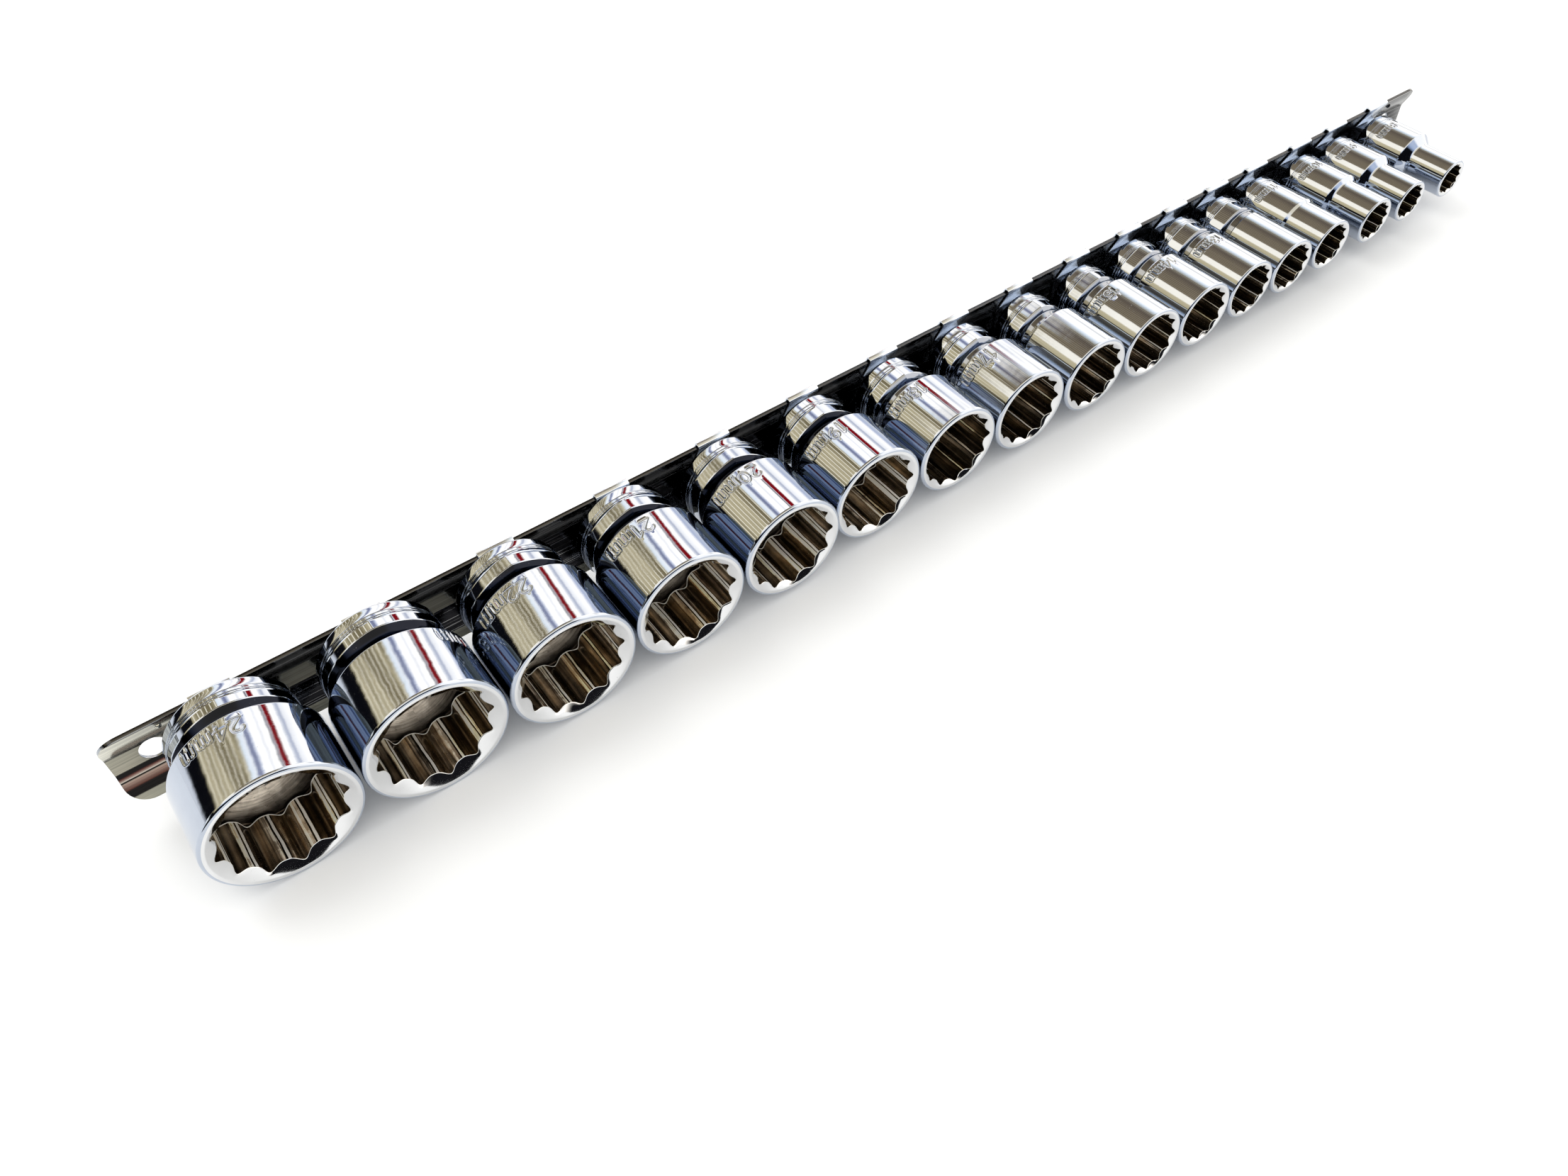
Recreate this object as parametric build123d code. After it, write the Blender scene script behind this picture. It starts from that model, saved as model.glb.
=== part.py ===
from build123d import *
import math
import os

os.makedirs("parts", exist_ok=True)

# ---------------------------------------------------------------- dimensions
# Millimetres. Working frame while drawing: X along the rail, Y from the socket
# mouths back to the rail, Z up, with z = 0 on the common axis of the sockets.

# size of each socket, x of its axis, outside diameter of its body,
# y of its mouth, outside diameter of its drive end
SOCKETS = [
    (24, 0.00, 33.2, 0.0, 28.0),
    (23, 33.40, 32.6, 0.0, 28.4),
    (22, 65.40, 30.7, -1.3, 26.2),
    (21, 95.65, 28.8, -1.3, 24.3),
    (20, 124.05, 27.2, -1.3, 22.9),
    (19, 151.05, 26.0, 0.6, 21.6),
    (18, 176.65, 24.4, 0.6, 20.2),
    (17, 201.05, 23.6, 0.6, 19.4),
    (16, 224.10, 21.8, 0.3, 18.4),
    (15, 245.70, 20.7, 0.3, 17.8),
    (14, 266.15, 19.5, 0.3, 17.4),
    (13, 285.05, 17.6, 0.3, 17.0),
    (12, 302.65, 16.7, 0.3, 16.8),
    (11, 320.05, 15.4, 0.3, 16.4),
    (10, 340.25, 14.0, 0.3, 16.4),
    (9, 357.15, 12.7, 0.3, 16.4),
    (8, 377.15, 11.7, 0.3, 16.4),
]

SOCKET_BACK_Y = 30.6        # back face of every socket
AF_CLEARANCE = 0.15         # wrench size plus this is the distance across flats
SQUARE = 9.58               # square drive hole, across flats
SQUARE_DEPTH = 10.2
RING_W = 3.1                # crowned ring at the drive end
BEAD_W = 0.45               # fine raised bead in front of the ring
FINE_GROOVE_W = 0.42
FINE_GROOVE_D = 0.32
HEX_BACK = 4.5              # back of the six-sided band, from the back face
HEX_FRONT = 9.2             # front of the six-sided band, from the back face
HEX_APOTHEM = 0.957         # flats of that band, as a share of the drive end's radius
HEX_TURN = 30               # its corners lie above and below the axis

RAIL_LEFT = -24.2
RAIL_RIGHT = 398.5
SHEET = 0.9                 # sheet thickness of the rail
RAIL_EDGE_Y = 31.35         # front of the free edges of the rail
FLAT_HALF = 2.87            # half the height of the flat back wall
EDGE_Z = 10.45              # height of the free edges on the inside face
FLARE = 0.45778             # how far the flange comes forward for each mm of height
END_HOLE_D = 5.75
END_HOLE_FROM_END = 9.1
END_CORNER_R = 5.0
STOP_FROM_END = 12.4        # small pressed stop that keeps the clips on

CLIP_W = 8.9                # length of a clip along the rail
CLIP_T = 0.4                # strip thickness
CLIP_GAP = 0.08             # sliding clearance to the rail
CLIP_TOP = 0.6              # room between the rail's edge and the turn of the strip over it
CLIP_HOOK = 1.5             # how far the strip turns back behind the edge
CLIP_BEVEL = 0.5            # outside corner of that turn, cut back clear of the socket
STUD = 9.42                 # square stud, across flats
STUD_FRONT_Y = 21.6
STUD_WALL = 0.65
STUD_R = 0.8
LEAF_W = 4.2
LEAF_LEN = 6.6
LEAF_SLOT = 0.6
LEAF_SET = 0.35
DETENT_Y = 24.9

# the part's own frame: origin under the middle of the whole, on the lowest point
WEB_FRONT_Y = RAIL_EDGE_Y + FLARE * (EDGE_Z - FLAT_HALF)
WEB_BACK_Y = WEB_FRONT_Y + SHEET
MID_X = (RAIL_LEFT + RAIL_RIGHT) / 2.0
MIN_Y = min(s[3] for s in SOCKETS)
MID_Y = (MIN_Y + WEB_BACK_Y) / 2.0
AXIS_Z = max(s[2] for s in SOCKETS) / 2.0
HOME = Location((-MID_X, -MID_Y, AXIS_Z))


# ------------------------------------------------------------------ helpers
def turned(points):
    """Solid of revolution about Y from (radius, y, corner radius) points."""
    pts = [(p[0], p[1]) for p in points]
    edges = []
    start = []
    end = []
    n = len(pts)
    for i in range(n):
        r = points[i][2]
        if i == 0 or i == n - 1 or r <= 0:
            start.append(pts[i])
            end.append(pts[i])
            continue
        ax, ay = pts[i - 1][0] - pts[i][0], pts[i - 1][1] - pts[i][1]
        bx, by = pts[i + 1][0] - pts[i][0], pts[i + 1][1] - pts[i][1]
        la, lb = math.hypot(ax, ay), math.hypot(bx, by)
        ax, ay, bx, by = ax / la, ay / la, bx / lb, by / lb
        half = math.acos(max(-1.0, min(1.0, ax * bx + ay * by))) / 2.0
        d = r / math.tan(half)
        p = (pts[i][0] + ax * d, pts[i][1] + ay * d)
        q = (pts[i][0] + bx * d, pts[i][1] + by * d)
        k = math.hypot(ax + bx, ay + by)
        mx, my = (ax + bx) / k, (ay + by) / k
        c = (pts[i][0] + mx * r / math.sin(half), pts[i][1] + my * r / math.sin(half))
        m = (c[0] - mx * r, c[1] - my * r)
        start.append(p)
        end.append(q)
        edges.append(ThreePointArc(p, m, q))
    for i in range(n - 1):
        a, b = end[i], start[i + 1]
        if math.hypot(a[0] - b[0], a[1] - b[1]) > 1e-6:
            edges.append(Line(a, b))
    edges.append(Line(pts[-1], (0, pts[-1][1])))
    edges.append(Line((0, pts[-1][1]), (0, pts[0][1])))
    edges.append(Line((0, pts[0][1]), pts[0]))
    face = make_face(Curve() + edges)
    return revolve(face, Axis.Y)


def along_y(sketch, y0, y1):
    """Prism of a sketch drawn as (x, z), between two y values."""
    plane = Plane(origin=(0, y0, 0), x_dir=(1, 0, 0), z_dir=(0, -1, 0))
    return extrude(plane * sketch, amount=y1 - y0, dir=(0, 1, 0))


def one(shape):
    solids = shape.solids()
    return solids[0] if len(solids) == 1 else Compound(children=list(solids))


# ------------------------------------------------------------------ sockets
def socket(size, od, y_mouth, drive_od):
    """Twelve-point socket: body, neck, six-sided band, bead and ring."""
    R = od / 2.0
    rd = drive_od / 2.0
    yb = SOCKET_BACK_Y
    ring0 = yb - RING_W
    g1 = ring0 - FINE_GROOVE_W
    bead = g1 - BEAD_W
    g2 = bead - FINE_GROOVE_W
    rg = rd - FINE_GROOVE_D
    af = size + AF_CLEARANCE
    tip = af / 2.0 / math.cos(math.radians(30))
    if size >= 12:
        rn = max(rd - 2.3, 7.85)
        if size == 24:
            body_back = 18.7
        elif size == 23:
            body_back = 17.9
        elif size >= 16:
            body_back = 17.4
        else:
            body_back = 18.2
        hex_back = yb - HEX_BACK
        hex_front = yb - HEX_FRONT if size >= 14 else yb - HEX_FRONT - 0.8
        shoulder = min(0.9, (R - rn) * 0.4)
        pts = [
            (R, y_mouth, 0.7),
            (R, body_back, shoulder),
            (rn, body_back + 0.45, 0.35),
            (rn, hex_front - 0.25, 0.35),
            (rd - 0.75, hex_front, 0.0),
            (rd, hex_front + 0.75, 0.3),
            (rd, g2, 0.0),
            (rg, g2, 0.0),
            (rg, bead, 0.0),
            (rd, bead, 0.1),
            (rd, g1, 0.1),
            (rg, g1, 0.0),
            (rg, ring0, 0.0),
            (rd - 0.05, ring0, 0.2),
            (rd - 0.25, yb - 1.0, 0.0),
            (rd - 0.9, yb, 0.3),
        ]
        pts.insert(0, (R - 1.5, y_mouth, 0.0))
        pts.append((0.9 * rd - 0.9, yb, 0.0))
        outer = turned(pts)
        flats = along_y(
            Rot(0, 0, HEX_TURN) * RegularPolygon(rd * HEX_APOTHEM, 6, major_radius=False),
            hex_front - 0.2, hex_back)
        sleeve = along_y(Circle(rd + 2.0), hex_front - 0.2, hex_back)
        outer = outer - (sleeve - flats)
    else:
        step_y = y_mouth + 12.4
        full_y = step_y + max(0.9, (rd - R) * 1.05)
        pts = [
            (R - 1.2, y_mouth, 0.0),
            (R, y_mouth, 0.55),
            (R, step_y, min(1.2, 1.0 * (rd - R) + 0.05)),
            (rd, full_y, 0.6),
            (rd, g2, 0.0),
            (rg, g2, 0.0),
            (rg, bead, 0.0),
            (rd - 0.1, bead, 0.1),
            (rd - 0.1, g1, 0.1),
            (rg, g1, 0.0),
            (rg, ring0, 0.0),
            (rd - 0.25, ring0, 0.2),
            (rd - 0.4, yb - 1.0, 0.0),
            (rd - 1.0, yb, 0.3),
            (rd - 2.0, yb, 0.0),
        ]
        outer = turned(pts)

    # twelve-point bore with a lead-in cone, then the round cavity
    depth = 14.0 if size >= 20 else (13.2 if size >= 12 else 11.8)
    star = (RegularPolygon(af / 2.0, 6, major_radius=False)
            + Rot(0, 0, 30) * RegularPolygon(af / 2.0, 6, major_radius=False))
    bore = along_y(star, y_mouth - 1.0, y_mouth + depth)
    r_in = R - (1.5 if size >= 16 else 1.25 if size >= 12 else 1.0)
    cone_len = (r_in - af / 2.0) * 0.62
    lead = turned([(r_in, y_mouth - 1.0, 0.0), (r_in, y_mouth, 0.0),
                   (af / 2.0 - 0.4, y_mouth + cone_len + 0.25, 0.0)])
    sq_front = yb - SQUARE_DEPTH
    y_cav = y_mouth + depth
    if size >= 14:
        r_cav = tip + 0.2
        cone0, cone1 = y_cav + 0.9, y_cav + (3.4 if size >= 20 else 2.9)
    else:
        r_cav = af / 2.0 * 0.985
        cone0, cone1 = y_cav + 1.6, y_cav + 2.6
    r_floor = min(6.4, r_cav - 0.6)
    cavity = turned([(r_cav, y_cav - 0.02, 0.0), (r_cav, cone0, 0.0),
                     (r_floor, cone1, 0.0), (r_floor, sq_front + 0.02, 0.0)])
    square = along_y(RectangleRounded(SQUARE, SQUARE, 0.35), sq_front, yb + 1.0)
    mouth_sq = turned([(SQUARE / 2.0 + 0.15, yb - 0.75, 0.0), (SQUARE / 2.0 + 1.0, yb + 0.1, 0.0)])
    detent = along_y(Circle(SQUARE / 2.0 + 0.36), DETENT_Y - 1.15, DETENT_Y + 1.15)
    body = outer - bore - lead - cavity - square - mouth_sq - detent
    return one(body)


# --------------------------------------------------------------------- clips
def corner(e):
    return (WEB_FRONT_Y - e, FLAT_HALF - e * 0.21803)


ln = math.hypot(FLARE, 1.0)
DY, DZ = -FLARE / ln, 1.0 / ln          # along the flange, towards its free edge
NY, NZ = 1.0 / ln, FLARE / ln           # out of the flange, away from the sockets


def edge_point(n, d):
    return (RAIL_EDGE_Y + n * NY + d * DY, EDGE_Z + n * NZ + d * DZ)


def yz_prism(pts, x0, x1):
    """Prism of a closed (y, z) polygon, between two x values."""
    plane = Plane(origin=(x0, 0, 0), x_dir=(0, 1, 0), z_dir=(1, 0, 0))
    return extrude(plane * Polygon(*pts, align=None), amount=x1 - x0, dir=(1, 0, 0))


def clip():
    """Spring strip round both edges of the rail, with a folded square stud."""
    a = CLIP_GAP
    b = CLIP_GAP + CLIP_T
    top = CLIP_TOP
    upper = [corner(a), edge_point(-a, top), edge_point(SHEET + a, top),
             edge_point(SHEET + a, -CLIP_HOOK), edge_point(SHEET + b, -CLIP_HOOK),
             edge_point(SHEET + b, top + CLIP_T), edge_point(-b + CLIP_BEVEL * 0.86, top + CLIP_T),
             edge_point(-b, top + CLIP_T - CLIP_BEVEL), corner(b)]
    lower = [(y, -z) for y, z in reversed(upper)]
    strip = yz_prism(upper + lower, -CLIP_W / 2.0, CLIP_W / 2.0)
    root = corner(b)[0] + 0.1
    stud = along_y(RectangleRounded(STUD, STUD, STUD_R), STUD_FRONT_Y, root)
    stud = chamfer(stud.faces().sort_by(Axis.Y)[0].edges(), 0.5)
    hollow = along_y(RectangleRounded(STUD - 2 * STUD_WALL, STUD - 2 * STUD_WALL, 0.3),
                     STUD_FRONT_Y + STUD_WALL, root - 0.05)
    stud = stud - hollow
    # the root of the stud is trimmed to the inside of the trough
    room = [corner(a), edge_point(-a, 0), (20.0, EDGE_Z), (20.0, -EDGE_Z),
            (edge_point(-a, 0)[0], -edge_point(-a, 0)[1]), (corner(a)[0], -corner(a)[1])]
    stud = stud & yz_prism(room, -STUD, STUD)
    # a spring leaf with a detent dome in the top and bottom walls
    half = STUD / 2.0
    y0 = DETENT_Y - 1.9
    y1 = y0 + LEAF_LEN
    for s in (1, -1):
        wall_mid = s * (half - STUD_WALL / 2.0)
        win = Pos(0, (y0 + y1) / 2.0, wall_mid) * Box(LEAF_W + 2 * LEAF_SLOT, y1 - y0, STUD_WALL + 0.8)
        leaf = Pos(0, (y0 + LEAF_SLOT + y1 + 0.05) / 2.0, s * (half - LEAF_SET - 0.2)) * Box(
            LEAF_W, y1 - y0 - LEAF_SLOT + 0.05, 0.4)
        foot = Pos(0, y1 + 0.2, s * (half - LEAF_SET - 0.2)) * Box(LEAF_W, 0.6, 0.4)
        dome = Pos(0, DETENT_Y, s * (half + 0.04 - 1.3)) * Sphere(1.3)
        dome = dome & (Pos(0, DETENT_Y, s * (half - 0.2)) * Box(6, 6, 0.7))
        stud = stud - win + leaf + foot + dome
    return one(strip + stud)


# ---------------------------------------------------------------------- rail
def rail():
    """Shallow flared trough of bent sheet, open towards the sockets."""
    inner = [corner(0), edge_point(0, 0), edge_point(SHEET, 0)]
    outer = [(WEB_BACK_Y, FLAT_HALF + SHEET * 0.21803)]
    upper = inner + outer
    lower = [(y, -z) for y, z in reversed(upper)]
    body = yz_prism(upper + lower, RAIL_LEFT, RAIL_RIGHT)
    # cut-back round corners at the four ends of the flanges, seen along Y
    for x, s in ((RAIL_LEFT, 1), (RAIL_RIGHT, -1)):
        for up in (1, -1):
            r = END_CORNER_R
            top = EDGE_Z + SHEET * NZ + 0.01
            block = Pos(x + s * r / 2.0 - s * 0.5, 33.0, up * (top - r / 2.0 + 0.5)) * Box(r + 1.0, 12, r + 1.0)
            round_ = Pos(x + s * r, 33.0, up * (top - r)) * Rot(90, 0, 0) * Cylinder(r, 12)
            body = body - (block - round_)
    for x in (RAIL_LEFT + END_HOLE_FROM_END, RAIL_RIGHT - END_HOLE_FROM_END):
        body = body - Pos(x, WEB_FRONT_Y, 0) * Rot(90, 0, 0) * Cylinder(END_HOLE_D / 2.0, 6)
    # pressed stop on the inside of the upper flange near each end
    for x in (RAIL_LEFT + STOP_FROM_END, RAIL_RIGHT - STOP_FROM_END):
        cy, cz = edge_point(0, -3.2)
        stop = Sphere(0.75)
        body = body + Pos(x, cy + 0.15 * NY, cz + 0.15 * NZ) * stop
    return one(body)


# --------------------------------------------------------------------- write
nodes = {}
nodes["rail"] = rail()
base_clip = clip()
for size, x, od, y_mouth, drive_od in SOCKETS:
    tag = "%02dmm" % size
    nodes["clip_" + tag] = Pos(x, 0, 0) * base_clip
    nodes["socket_" + tag] = Pos(x, 0, 0) * socket(size, od, y_mouth, drive_od)

for name, shape in nodes.items():
    placed = HOME * shape
    placed.label = name
    export_step(placed, "parts/" + name + ".step")
    bb = placed.bounding_box()
    print(name, len(placed.solids()), "%.1f" % placed.volume,
          "x %.2f..%.2f y %.2f..%.2f z %.2f..%.2f" % (bb.min.X, bb.max.X, bb.min.Y, bb.max.Y, bb.min.Z, bb.max.Z))
print("origin shift", -MID_X, -MID_Y, AXIS_Z)
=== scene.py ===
import math

import bpy
import numpy as np
from mathutils import Matrix, Vector
from mathutils.geometry import delaunay_2d_cdt


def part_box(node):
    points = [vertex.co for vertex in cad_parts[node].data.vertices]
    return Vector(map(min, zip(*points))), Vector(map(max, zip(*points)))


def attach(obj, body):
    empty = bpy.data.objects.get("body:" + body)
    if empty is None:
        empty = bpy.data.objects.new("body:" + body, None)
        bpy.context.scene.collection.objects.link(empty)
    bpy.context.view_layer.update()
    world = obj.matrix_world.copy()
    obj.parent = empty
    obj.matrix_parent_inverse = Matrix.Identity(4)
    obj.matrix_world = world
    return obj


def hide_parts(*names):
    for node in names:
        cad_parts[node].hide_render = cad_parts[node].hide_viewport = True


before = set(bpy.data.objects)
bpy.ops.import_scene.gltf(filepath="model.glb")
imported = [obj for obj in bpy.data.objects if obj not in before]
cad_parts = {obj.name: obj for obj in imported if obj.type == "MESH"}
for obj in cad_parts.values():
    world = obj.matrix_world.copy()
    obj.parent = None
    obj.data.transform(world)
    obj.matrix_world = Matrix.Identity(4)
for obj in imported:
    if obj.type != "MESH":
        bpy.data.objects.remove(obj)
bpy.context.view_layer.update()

# ------------------------------------------------------------------ dimensions
# Millimetres in a working frame: X along the rail from the axis of the 24 mm
# socket, Y from that socket's mouth back to the rail, z = 0 on the socket axes.
_lo, _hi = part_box("socket_24mm")
HOME = np.array([(_lo.x + _hi.x) / 2, _lo.y, (_lo.z + _hi.z) / 2])
_rlo, _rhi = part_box("rail")
RAIL_LEFT, RAIL_RIGHT = ((_rlo.x - HOME[0]) * 1e3, (_rhi.x - HOME[0]) * 1e3)

# size, x of the axis, outside diameter, y of the mouth, diameter of the drive end,
# middle of the size stamp round the body in degrees from the top, towards +X
SOCKETS = [
    (24, 0.00, 33.2, 0.0, 28.0, -14.0),
    (23, 33.40, 32.6, 0.0, 28.4, 62.0),
    (22, 65.40, 30.7, -1.3, 26.2, -27.0),
    (21, 95.65, 28.8, -1.3, 24.3, -24.0),
    (20, 124.05, 27.2, -1.3, 22.9, -22.0),
    (19, 151.05, 26.0, 0.6, 21.6, -28.0),
    (18, 176.65, 24.4, 0.6, 20.2, -30.0),
    (17, 201.05, 23.6, 0.6, 19.4, -38.0),
    (16, 224.10, 21.8, 0.3, 18.4, 120.0),
    (15, 245.70, 20.7, 0.3, 17.8, -34.0),
    (14, 266.15, 19.5, 0.3, 17.4, -24.0),
    (13, 285.05, 17.6, 0.3, 17.0, -20.0),
    (12, 302.65, 16.7, 0.3, 16.8, 60.0),
    (11, 320.05, 15.4, 0.3, 16.4, -24.0),
    (10, 340.25, 14.0, 0.3, 16.4, -24.0),
    (9, 357.15, 12.7, 0.3, 16.4, -24.0),
    (8, 377.15, 11.7, 0.3, 16.4, -24.0),
]
BACK_Y = 30.6
AF_CLEARANCE = 0.15
SQUARE, SQUARE_DEPTH = 9.58, 10.2
RING_W, BEAD_W, GROOVE_W, GROOVE_D = 3.1, 0.45, 0.42, 0.32
HEX_BACK, HEX_FRONT = 4.5, 9.2
DETENT_Y = 24.9

SHEET, EDGE_Y, EDGE_Z, FLAT_HALF, FLARE = 0.9, 31.35, 10.45, 2.87, 0.45778
HOLE_R, HOLE_IN, END_R, STOP_IN = 2.875, 9.1, 5.0, 12.4
CLIP_W, CLIP_T, CLIP_GAP, CLIP_TOP, CLIP_HOOK = 8.9, 0.4, 0.08, 0.6, 1.5
STUD, STUD_FRONT_Y, STUD_WALL, STUD_R = 9.42, 21.6, 0.65, 0.8
WEB_Y = EDGE_Y + FLARE * (EDGE_Z - FLAT_HALF)
_ln = math.hypot(FLARE, 1.0)
DY, DZ = -FLARE / _ln, 1.0 / _ln
NY, NZ = 1.0 / _ln, FLARE / _ln


# ------------------------------------------------------------------ mesh helpers
def new_object(name, verts, quads, tris, slots, mats, uv=None, sharp=38.0, fields=None):
    """Mesh object from points in mm; quads and tris are index arrays, slots one number a face."""
    co = np.asarray(verts, float) * 1e-3 + HOME
    quads = np.asarray(quads, np.int32).reshape(-1, 4)
    tris = np.asarray(tris, np.int32).reshape(-1, 3)
    me = bpy.data.meshes.new(name)
    me.vertices.add(len(co))
    me.vertices.foreach_set("co", co.astype(np.float32).ravel())
    loops = np.concatenate([quads.ravel(), tris.ravel()])
    me.loops.add(len(loops))
    me.loops.foreach_set("vertex_index", loops)
    starts = np.concatenate([np.arange(len(quads)) * 4, len(quads) * 4 + np.arange(len(tris)) * 3])
    me.polygons.add(len(starts))
    me.polygons.foreach_set("loop_start", starts.astype(np.int32))
    for m in mats:
        me.materials.append(m)
    me.polygons.foreach_set("material_index", np.asarray(slots, np.int32))
    if uv is not None:
        layer = me.uv_layers.new(name="Surface")
        layer.data.foreach_set("uv", np.asarray(uv, np.float32).ravel())
    for key, values in (fields or {}).items():
        me.attributes.new(key, "FLOAT", "POINT").data.foreach_set("value", np.asarray(values, np.float32).ravel())
    me.update(calc_edges=True)
    me.validate()
    me.shade_smooth()
    me.set_sharp_from_angle(angle=math.radians(sharp))
    ob = bpy.data.objects.new(name, me)
    bpy.context.scene.collection.objects.link(ob)
    return ob


def volume(v, quads, tris=()):
    """Signed volume of a closed mesh, positive where its faces point outwards."""
    v = np.asarray(v, float)
    q = np.asarray(quads, int).reshape(-1, 4)
    t = np.concatenate([q[:, [0, 1, 2]], q[:, [0, 2, 3]], np.asarray(tris, int).reshape(-1, 3)])
    a, b, c = v[t[:, 0]], v[t[:, 1]], v[t[:, 2]]
    return float(np.einsum("ij,ij->i", a, np.cross(b, c)).sum() / 6)


def rounded(points, step=22.0, ease=0.0):
    """Open polyline through (a, b, radius) corners, each rounded by a sampled arc, with a point ease beyond its ends."""
    out = [(points[0][0], points[0][1])]
    for i in range(1, len(points) - 1):
        p = points[i]
        if p[2] <= 0:
            out.append((p[0], p[1]))
            continue
        a = np.array([points[i - 1][0] - p[0], points[i - 1][1] - p[1]], float)
        b = np.array([points[i + 1][0] - p[0], points[i + 1][1] - p[1]], float)
        la, lb = np.hypot(*a), np.hypot(*b)
        a, b = a / la, b / lb
        half = math.acos(max(-1.0, min(1.0, float(a @ b)))) / 2
        if half > math.radians(89.5):
            out.append((p[0], p[1]))
            continue
        r = min(p[2], 0.49 * min(la, lb) * math.tan(half))
        d = r / math.tan(half)
        m = (a + b) / np.hypot(*(a + b))
        c = np.array(p[:2]) + m * r / math.sin(half)
        s, e = np.array(p[:2]) + a * d - c, np.array(p[:2]) + b * d - c
        a0, a1 = math.atan2(s[1], s[0]), math.atan2(e[1], e[0])
        turn = (a1 - a0 + math.pi) % (2 * math.pi) - math.pi
        n = max(2, int(math.ceil(abs(math.degrees(turn)) / step)))
        if ease > 0 and la - d > 2.2 * ease:
            out.append(tuple(np.array(p[:2]) + a * (d + ease)))
        for k in range(n + 1):
            t = a0 + turn * k / n
            out.append((c[0] + r * math.cos(t), c[1] + r * math.sin(t)))
        if ease > 0 and lb - d > 2.2 * ease:
            out.append(tuple(np.array(p[:2]) + b * (d + ease)))
    out.append((points[-1][0], points[-1][1]))
    return out


# ------------------------------------------------------------------ stamped figures
def _arc(cx, cy, rx, ry, a0, a1, n=14):
    return [(cx + rx * math.cos(math.radians(a0 + (a1 - a0) * k / n)),
             cy + ry * math.sin(math.radians(a0 + (a1 - a0) * k / n))) for k in range(n + 1)]


FIGURES = {
    "0": (0.62, [_arc(.31, .5, .29, .48, 0, 360, 24)]),
    "1": (0.40, [[(.04, .76), (.26, .98), (.26, .02)]]),
    "2": (0.62, [_arc(.31, .70, .28, .28, 165, -38) + [(.03, .02), (.61, .02)]]),
    "3": (0.62, [_arc(.30, .74, .26, .24, 150, -90) + _arc(.30, .26, .29, .24, 90, -150)]),
    "4": (0.66, [[(.46, .02), (.46, .98), (.02, .28), (.64, .28)]]),
    "5": (0.62, [[(.56, .98), (.12, .98), (.08, .56)] + _arc(.30, .32, .29, .30, 118, -148)]),
    "6": (0.62, [_arc(.31, .30, .28, .28, 180, 540, 22) + _arc(.62, .32, .59, .66, 178, 104)]),
    "7": (0.58, [[(.02, .98), (.56, .98), (.20, .02)]]),
    "8": (0.62, [_arc(.31, .74, .23, .24, -90, 270, 20) + _arc(.31, .26, .28, .24, 90, 450, 20)]),
    "9": (0.62, [_arc(.31, .70, .28, .28, 0, 360, 22) + _arc(.00, .68, .59, .66, 0, -74)]),
    "m": (0.90, [[(.04, .0), (.04, .68)], _arc(.235, .47, .195, .20, 180, 0, 10) + [(.43, .0)],
                 _arc(.625, .47, .195, .20, 180, 0, 10) + [(.82, .0)]]),
}


def stamp_segments(text, height, gap=0.20):
    """Stroke segments of a line of figures, centred on 0, in mm, and its width."""
    x, segs = 0.0, []
    for ch in text:
        w, strokes = FIGURES[ch]
        for line in strokes:
            pts = np.array(line, float) * height
            pts[:, 0] += x
            segs.append(np.concatenate([pts[:-1], pts[1:]], axis=1))
        x += (w + gap) * height
    width = x - gap * height
    segs = np.concatenate(segs)
    segs[:, [0, 2]] -= width / 2
    return segs, width


def stroke_distance(u, v, segs):
    """Distance from each point to the nearest stroke."""
    best = np.full(u.shape, 1e9)
    for x0, y0, x1, y1 in segs:
        dx, dy = x1 - x0, y1 - y0
        t = np.clip(((u - x0) * dx + (v - y0) * dy) / max(dx * dx + dy * dy, 1e-12), 0, 1)
        best = np.minimum(best, np.hypot(u - x0 - t * dx, v - y0 - t * dy))
    return best


# ------------------------------------------------------------------ node helpers
def srgb(r, g, b):
    """Linear colour of a displayed one, from 0 to 255."""
    return tuple(((c / 255.0 + 0.055) / 1.055) ** 2.4 if c > 10.3 else c / 255.0 / 12.92 for c in (r, g, b))


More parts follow.
